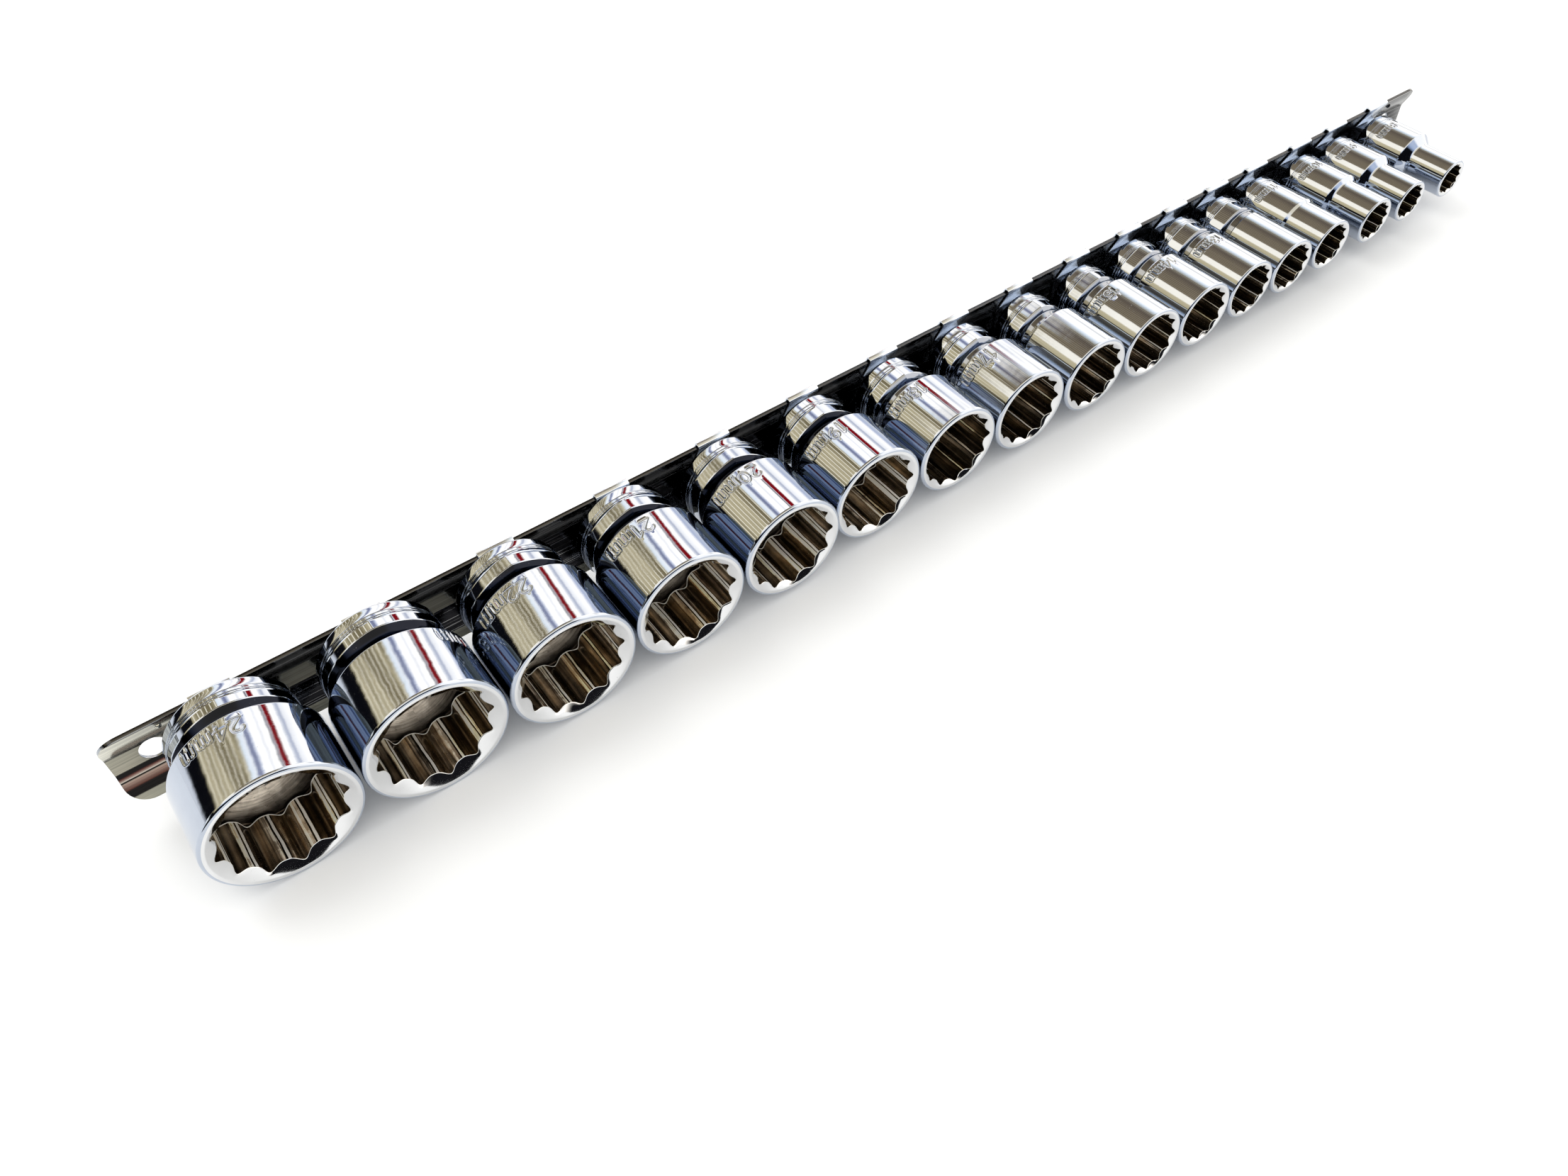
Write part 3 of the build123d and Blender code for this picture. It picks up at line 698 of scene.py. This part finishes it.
    m = len(rows)
    rr = np.array([q[0] for q in rows])
    yy = np.array([q[1] for q in rows])
    slot = np.array([q[2] for q in rows])

    # ---- press the figures in
    u = -rs * np.radians(((th - mark + 180) % 360) - 180)
    on = (np.abs(rr - rs) < 1e-6) & (yy > win_y0 - 0.2) & (yy < win_y1 + 0.2) & (np.abs(u)[None, :] < width / 2 + pad)
    uu = np.broadcast_to(u, rr.shape)
    d = stroke_distance(uu[on], (base_y - yy)[on], segs)
    w, soft, deep = (0.21, 0.26, 0.25) if big else (0.14, 0.20, 0.18)
    k = np.clip((w + soft - d) / soft, 0, 1)
    k = k * k * (3 - 2 * k)
    rr[on] += -deep * k
    # painted shade in the pressed strokes, darkest on their walls and lighter on their floors
    stamped = np.zeros(rr.shape)
    stamped[on] = k * (1 - k) * 4
    stamped[on] = np.maximum(stamped[on], 0.35 * k)
    # painted light for the cavity: dark next to the flutes, lighter towards the back and towards -X
    lit = np.clip((yy - c0 - 0.3) / 2.2, 0, 1) * (0.5 - 0.5 * np.sin(rad + 0.2))[None, :]
    wave = np.radians(12.0 * (th - 15.0))                   # one turn for each land
    fields = {"lit": lit, "stamped": stamped, "wave_cos": np.broadcast_to(np.cos(wave), rr.shape),
              "wave_sin": np.broadcast_to(np.sin(wave), rr.shape)}

    verts = np.stack([rr * np.sin(rad) + x, yy, rr * np.cos(rad)], axis=-1).reshape(-1, 3)
    i = np.arange(m)[:, None]
    j = np.arange(n)[None, :]
    i2, j2 = (i + 1) % m, (j + 1) % n
    quads = np.stack([i * n + j, i * n + j2, i2 * n + j2, i2 * n + j], axis=-1).reshape(-1, 4)
    # surface coordinates in mm
    prof = np.zeros(m + 1)
    mr, my = rr.mean(1), yy.mean(1)
    prof[1:m] = np.cumsum(np.hypot(np.diff(mr), np.diff(my)))
    prof[m] = prof[m - 1] + math.hypot(mr[0] - mr[-1], my[0] - my[-1])
    ua = np.append(np.radians(th), np.radians(th[0] + 360)) * R
    uv = np.zeros((m, n, 4, 2))
    uv[..., 0, 0] = uv[..., 3, 0] = ua[:-1][None, :]
    uv[..., 1, 0] = uv[..., 2, 0] = ua[1:][None, :]
    uv[..., 0, 1] = uv[..., 1, 1] = prof[:-1][:, None]
    uv[..., 2, 1] = uv[..., 3, 1] = prof[1:][:, None]
    uv = uv.reshape(-1, 4, 2)
    if volume(verts - verts.mean(0), quads) < 0:
        quads, uv = quads[:, ::-1], uv[:, ::-1]
    face_slot = np.repeat(slot, n)
    tag = "%02dmm" % size
    ob = new_object("chrome_socket_" + tag, verts, quads, [], face_slot, SOCKET_MATS if size >= 19 else SMALL_MATS,
                    uv.reshape(-1, 2), 40.0, fields)
    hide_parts("socket_" + tag)
    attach(ob, "socket_" + tag)
    return ob


for s in SOCKETS:
    make_socket(*s)


# ------------------------------------------------------------------ bent sheet
class Bend:
    """A bent strip's section: straight runs joined by arcs; at(s) gives a point and the direction of its thickness."""

    def __init__(self, pts, side):
        # pts: (y, z, radius) corners; side +1 puts the thickness on the left of travel
        self.parts, self.side = [], side
        prev = np.array(pts[0][:2], float)
        s = 0.0
        for i in range(1, len(pts)):
            p = np.array(pts[i][:2], float)
            if i == len(pts) - 1 or pts[i][2] <= 0:
                ln = np.hypot(*(p - prev))
                self.parts.append(("L", s, s + ln, prev, (p - prev) / ln))
                s += ln
                prev = p
                continue
            r = pts[i][2]
            a = np.array(pts[i - 1][:2], float) - p
            b = np.array(pts[i + 1][:2], float) - p
            a, b = a / np.hypot(*a), b / np.hypot(*b)
            half = math.acos(max(-1, min(1, float(a @ b)))) / 2
            d = r / math.tan(half)
            p0, p1 = p + a * d, p + b * d
            ln = np.hypot(*(p0 - prev))
            if ln > 1e-9:
                self.parts.append(("L", s, s + ln, prev, (p0 - prev) / ln))
                s += ln
            c = p + (a + b) / np.hypot(*(a + b)) * r / math.sin(half)
            t0, t1 = math.atan2(*(p0 - c)[::-1]), math.atan2(*(p1 - c)[::-1])
            turn = (t1 - t0 + math.pi) % (2 * math.pi) - math.pi
            ln = abs(turn) * r
            self.parts.append(("A", s, s + ln, c, r, t0, turn))
            s += ln
            prev = p1
        self.length = s

    def at(self, s):
        for part in self.parts:
            if s <= part[2] + 1e-9:
                break
        if part[0] == "L":
            p, d = part[3] + part[4] * (s - part[1]), part[4]
        else:
            _, s0, s1, c, r, t0, turn = part
            t = t0 + turn * (s - s0) / (s1 - s0)
            p = c + r * np.array([math.cos(t), math.sin(t)])
            d = np.array([-math.sin(t), math.cos(t)]) * (1 if turn > 0 else -1)
        return p, np.array([-d[1], d[0]]) * self.side

    def breaks(self, step=9.0):
        out = []
        for part in self.parts:
            if part[0] == "A":
                n = max(2, int(math.ceil(abs(math.degrees(part[6])) / step)))
                out += [part[1] + (part[2] - part[1]) * k / n for k in range(n + 1)]
        return out


def bent_sheet(bend, thick, x0, x1, corner, holes, edge, xs=()):
    """Closed mesh of a bent sheet: (points, triangles). holes are (x, s, radius); edge rounds its rim."""
    L = bend.length
    ks = sorted(set(round(k, 5) for k in bend.breaks() if corner + 0.02 < k < L - corner - 0.02))

    def outline(b):
        pts = []
        r = max(corner - b, 0.01)
        nc = 8
        for cx, cs, a0 in ((x1 - corner, corner, -90), (x1 - corner, L - corner, 0),
                           (x0 + corner, L - corner, 90), (x0 + corner, corner, 180)):
            pts += [(cx + r * math.cos(math.radians(a0 + 90 * k / nc)), cs + r * math.sin(math.radians(a0 + 90 * k / nc)))
                    for k in range(nc + 1)]
            if a0 == -90:
                pts += [(x1 - b, k) for k in ks]
            if a0 == 90:
                pts += [(x0 + b, k) for k in reversed(ks)]
            if a0 == 0:
                pts += [(x, L - b) for x in sorted(xs, reverse=True)]
            if a0 == 180:
                pts += [(x, b) for x in sorted(xs)]
        return pts

    def ring(h, b):
        hx, hs, hr = h
        ang = set(round(360.0 * k / 56, 4) for k in range(56))
        for k in ks:
            q = (k - hs) / (hr + edge)
            if abs(q) < 0.999:
                t = math.degrees(math.asin(q))
                for c in (t % 360, (180 - t) % 360):
                    ang = set(x for x in ang if abs(((x - c + 180) % 360) - 180) > 2.0)
                    ang.add(round(c, 4))
        return [(hx + (hr + b) * math.cos(math.radians(t)), hs + (hr + b) * math.sin(math.radians(t))) for t in sorted(ang)]

    loops = [outline(edge)] + [ring(h, edge) for h in holes]
    pts, edges = [], []
    for lp in loops:
        o = len(pts)
        pts += lp
        edges += [(o + k, o + (k + 1) % len(lp)) for k in range(len(lp))]
    index = {}

    def find(x, s):
        key = (round(x, 3), round(s, 3))
        if not index:
            for q, (a, b) in enumerate(pts):
                index[(round(a, 3), round(b, 3))] = q
        return index.get(key)

    for k in ks:
        stops = [(x0 + edge, None)]
        for h in holes:
            q = (k - h[1]) / (h[2] + edge)
            if abs(q) < 0.999:
                w = (h[2] + edge) * math.sqrt(1 - q * q)
                stops += [(h[0] - w, None), (h[0] + w, None)]
        stops.append((x1 - edge, None))
        stops = sorted(z[0] for z in stops)
        ends = []
        for z in stops:
            best = min(range(len(pts)), key=lambda q: (pts[q][0] - z) ** 2 + (pts[q][1] - k) ** 2)
            ends.append(best)
        for q in range(0, len(ends) - 1, 2):
            edges.append((ends[q], ends[q + 1]))
    v2, _, faces, *_rest = delaunay_2d_cdt([Vector(p) for p in pts], edges, [], 0, 1e-6)
    v2 = [(v.x, v.y) for v in v2]
    keep = []
    lo = loops[0]
    arr = np.array(lo)

    def inside(px, ps):
        x_, y_ = arr[:, 0], arr[:, 1]
        x2, y2 = np.roll(x_, -1), np.roll(y_, -1)
        c = ((y_ > ps) != (y2 > ps)) & (px < (x2 - x_) * (ps - y_) / (y2 - y_ + 1e-30) + x_)
        return c.sum() % 2 == 1

    for f in faces:
        cx = sum(v2[k][0] for k in f) / 3
        cs = sum(v2[k][1] for k in f) / 3
        area = (v2[f[1]][0] - v2[f[0]][0]) * (v2[f[2]][1] - v2[f[0]][1]) - (v2[f[2]][0] - v2[f[0]][0]) * (v2[f[1]][1] - v2[f[0]][1])
        if abs(area) < 1e-9 or not inside(cx, cs):
            continue
        if any((cx - h[0]) ** 2 + (cs - h[1]) ** 2 < (h[2] + edge * 0.5) ** 2 * 0.985 for h in holes):
            continue
        keep.append(tuple(f) if area > 0 else tuple(f)[::-1])
    memo = {}

    def place(x, s, t):
        key = round(s, 6)
        if key not in memo:
            memo[key] = bend.at(min(max(s, 0.0), L))
        p, nrm = memo[key]
        q = p + nrm * t
        return (x, q[0], q[1])

    verts = [place(x, s, 0.0) for x, s in v2] + [place(x, s, thick) for x, s in v2]
    nv = len(v2)
    tris = [(a, c, b) for a, b, c in keep] + [(a + nv, b + nv, c + nv) for a, b, c in keep]
    # rim: find the outline points in the triangulated set by place
    where = {}
    for q, (a, b) in enumerate(v2):
        where[(round(a, 4), round(b, 4))] = q
    for li, lp in enumerate(loops):
        idx = []
        for a, b in lp:
            q = where.get((round(a, 4), round(b, 4)))
            if q is None:
                q = min(range(nv), key=lambda z: (v2[z][0] - a) ** 2 + (v2[z][1] - b) ** 2)
            idx.append(q)
        def at_inset(b):
            return outline(b) if li == 0 else ring(holes[li - 1], b)
        full, midl = at_inset(0.0), at_inset(edge * 0.29)
        layers = [idx]
        for lay, t in ((midl, edge * 0.29), (full, edge), (full, thick - edge), (midl, thick - edge * 0.29)):
            o = len(verts)
            verts += [place(a, b, t) for a, b in lay]
            layers.append(list(range(o, o + len(lay))))
        layers.append([q + nv for q in idx])
        cnt = len(lp)
        for la, lb in zip(layers[:-1], layers[1:]):
            for k in range(cnt):
                k2 = (k + 1) % cnt
                tris += [(la[k], la[k2], lb[k2]), (la[k], lb[k2], lb[k])]
    return np.array(verts), np.array(tris)


def recalc(ob):
    """Outward faces all round."""
    import bmesh
    bm = bmesh.new()
    bm.from_mesh(ob.data)
    bmesh.ops.dissolve_degenerate(bm, dist=1e-9, edges=bm.edges)
    bmesh.ops.recalc_face_normals(bm, faces=bm.faces)
    bm.to_mesh(ob.data)
    bm.free()


def corner_pt(e):
    return (WEB_Y - e, FLAT_HALF - e * 0.21803)


def edge_pt(nn, d):
    return (EDGE_Y + nn * NY + d * DY, EDGE_Z + nn * NZ + d * DZ)


def mesh_piece(name, parts, mats, body, node, sharp=38.0):
    verts, quads, tris, slots = [], [], [], []
    o = 0
    qs, ts = [], []
    for v, f, mslot in parts:
        f = np.asarray(f)
        verts.append(np.asarray(v, float))
        if f.shape[1] == 4:
            quads.append(f + o)
            qs.append(np.full(len(f), mslot))
        else:
            tris.append(f + o)
            ts.append(np.full(len(f), mslot))
        o += len(v)
    ob = new_object(name, np.concatenate(verts),
                    np.concatenate(quads) if quads else [], np.concatenate(tris) if tris else [],
                    np.concatenate(qs + ts), mats, None, sharp)
    recalc(ob)
    ob.data.shade_smooth()
    ob.data.set_sharp_from_angle(angle=math.radians(sharp))
    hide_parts(node)
    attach(ob, body)
    return ob


def dome(c, normal, r, h, n=24, m=6):
    """Pressed dimple: a cap of height h and foot radius r standing on a face."""
    c, nrm = np.array(c, float), np.array(normal, float)
    nrm /= np.linalg.norm(nrm)
    a = np.cross(nrm, [1.0, 0, 0])
    if np.linalg.norm(a) < 0.1:
        a = np.cross(nrm, [0, 1.0, 0])
    a /= np.linalg.norm(a)
    b = np.cross(nrm, a)
    v, f = [], []
    for i in range(m):
        t = i / m
        rr, hh = r * math.cos(t * math.pi / 2) ** 0.8 if i else r, h * math.sin(t * math.pi / 2)
        for j in range(n):
            q = 2 * math.pi * j / n
            v.append(c + a * rr * math.cos(q) + b * rr * math.sin(q) + nrm * hh)
    v.append(c + nrm * h)
    for i in range(m - 1):
        for j in range(n):
            j2 = (j + 1) % n
            f += [(i * n + j, i * n + j2, (i + 1) * n + j2), (i * n + j, (i + 1) * n + j2, (i + 1) * n + j)]
    last = len(v) - 1
    for j in range(n):
        f.append(((m - 1) * n + j, (m - 1) * n + (j + 1) % n, last))
    v.append(c)
    foot = len(v) - 1
    for j in range(n):
        f.append(((j + 1) % n, j, foot))
    return np.array(v), np.array(f)


# rail: trough section from the lower free edge to the upper one, thickness to the back
_c = corner_pt(0)
_e = edge_pt(0, 0)
rail_bend = Bend([(_e[0], -_e[1], 0), (_c[0], -_c[1], 1.6), (_c[0], _c[1], 1.6), (_e[0], _e[1], 0)], 1)
if rail_bend.at(rail_bend.length / 2)[1][0] < 0:
    rail_bend.side = -1
holes = [(RAIL_LEFT + HOLE_IN, rail_bend.length / 2, HOLE_R), (RAIL_RIGHT - HOLE_IN, rail_bend.length / 2, HOLE_R)]
rv, rt = bent_sheet(rail_bend, SHEET, RAIL_LEFT, RAIL_RIGHT, END_R, holes, 0.14, xs=np.arange(-10, 390, 20.0))
parts = [(rv, rt, 0)]
for sx in (RAIL_LEFT + STOP_IN, RAIL_RIGHT - STOP_IN):
    cy, cz = edge_pt(0.02, -3.2)
    parts.append((*dome((sx, cy, cz), (0, -NY, -NZ), 0.72, 0.6), 0))
mesh_piece("trough_rail", parts, [M_RAIL], "rail", "rail")

# clips: a strip wrapped round both edges with a folded square stud
a_, b_ = CLIP_GAP, CLIP_GAP + CLIP_T
up = [edge_pt(SHEET + a_, -CLIP_HOOK), edge_pt(SHEET + a_, CLIP_TOP), edge_pt(-a_, CLIP_TOP), corner_pt(a_)]
sec = [(*up[0], 0), (*up[1], 0.25), (*up[2], 0.25), (*up[3], 0.8)]
sec += [(y, -z, r) for y, z, r in reversed(sec)]
clip_bend = Bend(sec, 1)
if clip_bend.at(clip_bend.length / 2)[1][0] > 0:
    clip_bend.side = -1


def stud_mesh(x):
    """Closed rounded square stud with a chamfered nose."""
    n = 96
    th = np.linspace(-math.pi, math.pi, n, endpoint=False) + math.pi / n * 0
    a = STUD / 2

    def sq(half, r):
        """Rounded square radius for each direction."""
        c, s = np.abs(np.cos(th)), np.abs(np.sin(th))
        k = half - r
        flat = half / np.maximum(c, s)
        # corner arc
        cc = k * (c + s)
        disc = np.maximum(cc * cc - (2 * k * k - r * r), 0)
        arc = cc + np.sqrt(disc)
        px, pz = flat * c, flat * s
        return np.where((np.minimum(px, pz) > k), arc, flat)

    rows = []
    yr = corner_pt(b_)[0] + 0.05
    for half, r, y in ((a, STUD_R, yr), (a, STUD_R, yr - 3.0), (a, STUD_R, STUD_FRONT_Y + 0.75), (a - 0.06, STUD_R, STUD_FRONT_Y + 0.52),
                       (a - 0.45, STUD_R * 0.8, STUD_FRONT_Y + 0.10), (a - 0.62, STUD_R * 0.8, STUD_FRONT_Y),
                       (a - 1.6, STUD_R * 0.6, STUD_FRONT_Y)):
        q = sq(half, r)
        rows.append(np.stack([q * np.sin(th) + x, np.full(n, y), q * np.cos(th)], 1))
    v = np.concatenate(rows + [np.array([[x, STUD_FRONT_Y, 0.0], [x, yr, 0.0]])])
    f = []
    for i in range(len(rows) - 1):
        for j in range(n):
            j2 = (j + 1) % n
            f += [(i * n + j, i * n + j2, (i + 1) * n + j2), (i * n + j, (i + 1) * n + j2, (i + 1) * n + j)]
    o = len(rows) * n
    for j in range(n):
        f.append(((len(rows) - 1) * n + j, (len(rows) - 1) * n + (j + 1) % n, o))
        f.append(((j + 1) % n, j, o + 1))
    return v, np.array(f)


for size, x, *_rest in SOCKETS:
    tag = "%02dmm" % size
    cv, ct = bent_sheet(clip_bend, CLIP_T, x - CLIP_W / 2, x + CLIP_W / 2, 0.35, [], 0.10)
    parts = [(cv, ct, 0), (*stud_mesh(x), 0)]
    for s in (1, -1):
        parts.append((*dome((x, DETENT_Y, s * (STUD / 2 - 0.30)), (0, 0, s), 0.9, 0.34), 0))
    mesh_piece("spring_clip_" + tag, parts, [M_CLIP], "clip_" + tag, "clip_" + tag)

# ------------------------------------------------------------------ floor
fm, t, p = material("pale_table")
mm = mm_coords(t)
c = t.mix(t.smooth(t.noise(mm, 0.004, 3.0, 0.5), 0.3, 0.7), (0.905, 0.905, 0.895), (0.93, 0.93, 0.925))
t.link(c, p.inputs["Base Color"])
t.link(t.span(t.noise(mm, 0.05, 3.0, 0.5), 0.3, 0.7, 0.62, 0.75), p.inputs["Roughness"])
p.inputs["Specular IOR Level"].default_value = 0.25
fl_me = bpy.data.meshes.new("table_top")
slope = 0.0139
z0 = -16.3 - 0.03
pts = []
for X, Y in ((-2500, -2500), (2500, -2500), (2500, 2500), (-2500, 2500)):
    pts.append(np.array([X, Y, z0 + (X - 33.4) * slope]) * 1e-3 + HOME)
fl_me.from_pydata([tuple(q) for q in pts], [], [(0, 1, 2, 3)])
fl_me.materials.append(fm)
table_top = bpy.data.objects.new("table_top", fl_me)
bpy.context.scene.collection.objects.link(table_top)

# ------------------------------------------------------------------ light
world = bpy.data.worlds.new("studio")
bpy.context.scene.world = world
world.use_nodes = True
t = Tree(world.node_tree)
out = t.node("ShaderNodeOutputWorld")
bg = t.node("ShaderNodeBackground")
t.link(bg.outputs[0], out.inputs[0])
co = t.node("ShaderNodeTexCoord").outputs["Generated"]
sep = t.node("ShaderNodeSeparateXYZ")
t.link(co, sep.inputs[0])
X, Y, Z = sep.outputs
psi = t.math("MULTIPLY", t.math("ARCTAN2", X, Z), 180 / math.pi)      # round the Y axis, 0 overhead, + to the right
drift = t.math("MULTIPLY", t.math("SUBTRACT", 0.655, Y), 300.0)
near = t.math("ADD", psi, t.math("MINIMUM", t.math("MAXIMUM", drift, -6.0), 14.0))


def panels(value, rows):
    """Colour of the soft panels round the Y axis; rows are (degrees, colour)."""
    v = t.math("ADD", t.math("DIVIDE", value, 360.0), 0.5)
    return t.ramp(v, [((d + 180.0) / 360.0, c) for d, c in rows])


def seen(r, g, b):
    """Panel colour that the plating shows as the given display colour."""
    return tuple(c / q for c, q in zip(srgb(r, g, b), PLATE))


OLIVE, OLIVE_D, OLIVE_L = seen(174, 166, 138), seen(116, 108, 84), seen(238, 234, 218)
WHITE, BLUE, INK = (2.22, 2.04, 1.78), seen(222, 234, 248), seen(9, 10, 15)
PALE = (1.30, 1.28, 1.24)
near_rows = [
    (-179, PALE), (-100, PALE), (-84, (1.05, 1.05, 1.05)), (-79, INK), (-59, INK),
    (-57, OLIVE), (-30, OLIVE), (-2, OLIVE), (1, BLUE), (7, seen(236, 242, 250)), (10, seen(134, 142, 172)), (13, seen(112, 118, 150)), (16, seen(190, 200, 224)),
    (19, WHITE), (27, WHITE), (30, seen(226, 230, 240)), (33, WHITE), (40.2, WHITE), (41.3, seen(20, 24, 46)), (42.4, seen(60, 66, 96)), (43.4, seen(236, 240, 248)), (44.6, seen(122, 12, 22)),
    (51.4, seen(122, 12, 22)), (52.6, WHITE), (59, WHITE), (63, seen(206, 212, 226)), (67, seen(168, 176, 200)), (70, seen(236, 240, 248)), (84, WHITE), (92, seen(170, 182, 212)),
    (110, seen(205, 212, 222)), (179, PALE)]
far_rows = [
    (-179, PALE), (-96, (1.5, 1.5, 1.5)), (-80, seen(195, 205, 215)), (-74, seen(230, 236, 240)),
    (-70, INK), (-63, INK), (-61, seen(176, 168, 140)), (-50, seen(188, 180, 152)), (-47, seen(246, 244, 236)),
    (-31, seen(246, 244, 236)), (-28, seen(126, 117, 100)), (-5, seen(120, 111, 96)), (14, seen(96, 88, 80)),
    (24, seen(140, 135, 122)), (29, seen(176, 184, 190)), (36, BLUE), (44, WHITE), (60, WHITE), (66, seen(205, 210, 218)),
    (72, WHITE), (110, WHITE), (179, PALE)]
n_col = panels(near, near_rows)
f_col = panels(psi, far_rows)
# slats: thin pale lines across the olive panel
ph = t.math("MULTIPLY", near, 1 / 7.3)
wob = t.math("MULTIPLY", t.noise(t.mapped(co, (2.5, 0.8, 2.5)), 1.0, 2.0, 0.5), 0.9)
fr = t.math("FRACT", t.math("ADD", ph, wob))
line = t.smooth(t.math("ABSOLUTE", t.math("SUBTRACT", fr, 0.5)), 0.35, 0.47)
inside = t.math("MULTIPLY", t.smooth(near, -58, -55), t.math("SUBTRACT", 1.0, t.smooth(near, -4, -1)))
slat = t.mix(line, t.mix(t.smooth(t.noise(t.mapped(co, (6, 1, 6)), 1.0, 2.0, 0.5), 0.35, 0.65), OLIVE_D, OLIVE), OLIVE_L)
n_col = t.mix(inside, n_col, slat)
fine = t.math("FRACT", t.math("ADD", t.math("MULTIPLY", psi, 1 / 5.0), wob))
fine = t.smooth(t.math("ABSOLUTE", t.math("SUBTRACT", fine, 0.5)), 0.28, 0.46)
span = t.math("MULTIPLY", t.smooth(psi, -30, -26), t.math("SUBTRACT", 1.0, t.smooth(psi, 22, 27)))
f_col = t.mix(t.math("MULTIPLY", span, t.math("MULTIPLY", fine, 0.75)), f_col, seen(56, 49, 42))
which = t.math("SUBTRACT", 1.0, t.smooth(Y, 0.50, 0.56))
room = t.mix(which, n_col, f_col)
# towards the viewer's side the room is a pale wall with a dark strip above the table
elev = t.math("MULTIPLY", t.math("ARCSINE", Z), 180 / math.pi)
front_v = t.math("ADD", t.math("DIVIDE", elev, 180.0), 0.5)
front = t.ramp(front_v, [((d + 90.0) / 180.0, c) for d, c in [
    (-90, PALE), (-16, PALE), (-12, INK), (32, INK), (36, seen(150, 170, 205)), (44, seen(236, 240, 248)),
    (58, seen(214, 210, 196)), (90, seen(190, 186, 170))]])
front = t.mix(t.smooth(X, 0.38, 0.55), front, (1.9, 1.8, 1.66))
room = t.mix(t.smooth(Y, 0.05, -0.25), room, front)
lp = t.node("ShaderNodeLightPath")
again = t.node("ShaderNodeMix", data_type="RGBA", blend_type="MULTIPLY")
again.inputs[0].default_value = 1.0
t.link(room, again.inputs[6])
t.link(t.mix(which, (0.20, 0.26, 0.38), (0.72, 0.78, 0.86)), again.inputs[7])
room = t.mix(t.smooth(lp.outputs["Glossy Depth"], 1.2, 1.8), room, again.outputs[2])
col = t.mix(lp.outputs["Is Glossy Ray"], (1.20, 1.20, 1.19), room)
t.link(col, bg.inputs["Color"])
bg.inputs["Strength"].default_value = 1.0


def area(name, place, aim, size, power, color):
    d = bpy.data.lights.new(name, "AREA")
    d.shape, d.size, d.energy, d.color = "DISK", size, power, color
    o = bpy.data.objects.new(name, d)
    bpy.context.scene.collection.objects.link(o)
    o.location = place
    o.rotation_mode = "QUATERNION"
    o.rotation_quaternion = (Vector(aim) - Vector(place)).to_track_quat("-Z", "Y")
    o.visible_glossy = False
    o.visible_camera = False
    return o


area("soft_key", (-0.55, 0.75, 1.25), (0.0, 0.0, 0.0), 0.9, 5.0, (1.0, 0.99, 0.97))

# ------------------------------------------------------------------ camera
F, AZ, EL, ROLL = 1766.24, 34.2003, 48.9893, -2.4750
CAM = np.array([10.09, -164.038, 214.828])
az, el, ro = map(math.radians, (AZ, EL, ROLL))
fw = np.array([math.sin(az) * math.cos(el), math.cos(az) * math.cos(el), -math.sin(el)])
right = np.array([math.cos(az), -math.sin(az), 0.0])
upv = np.cross(right, fw)
r2 = math.cos(ro) * right + math.sin(ro) * upv
u2 = -math.sin(ro) * right + math.cos(ro) * upv
cam_data = bpy.data.cameras.new("photo_view")
cam_data.sensor_fit = "HORIZONTAL"
cam_data.sensor_width = 36.0
cam_data.lens = 36.0 * F / 2212.0
cam_data.clip_start, cam_data.clip_end = 0.005, 20.0
cam = bpy.data.objects.new("photo_view", cam_data)
bpy.context.scene.collection.objects.link(cam)
where = CAM * 1e-3 + HOME
m = Matrix(((r2[0], u2[0], -fw[0], where[0]), (r2[1], u2[1], -fw[1], where[1]), (r2[2], u2[2], -fw[2], where[2]), (0, 0, 0, 1)))
cam.matrix_world = m
bpy.context.scene.camera = cam
bpy.context.scene.view_settings.view_transform = "Standard"
bpy.context.scene.view_settings.look = "None"
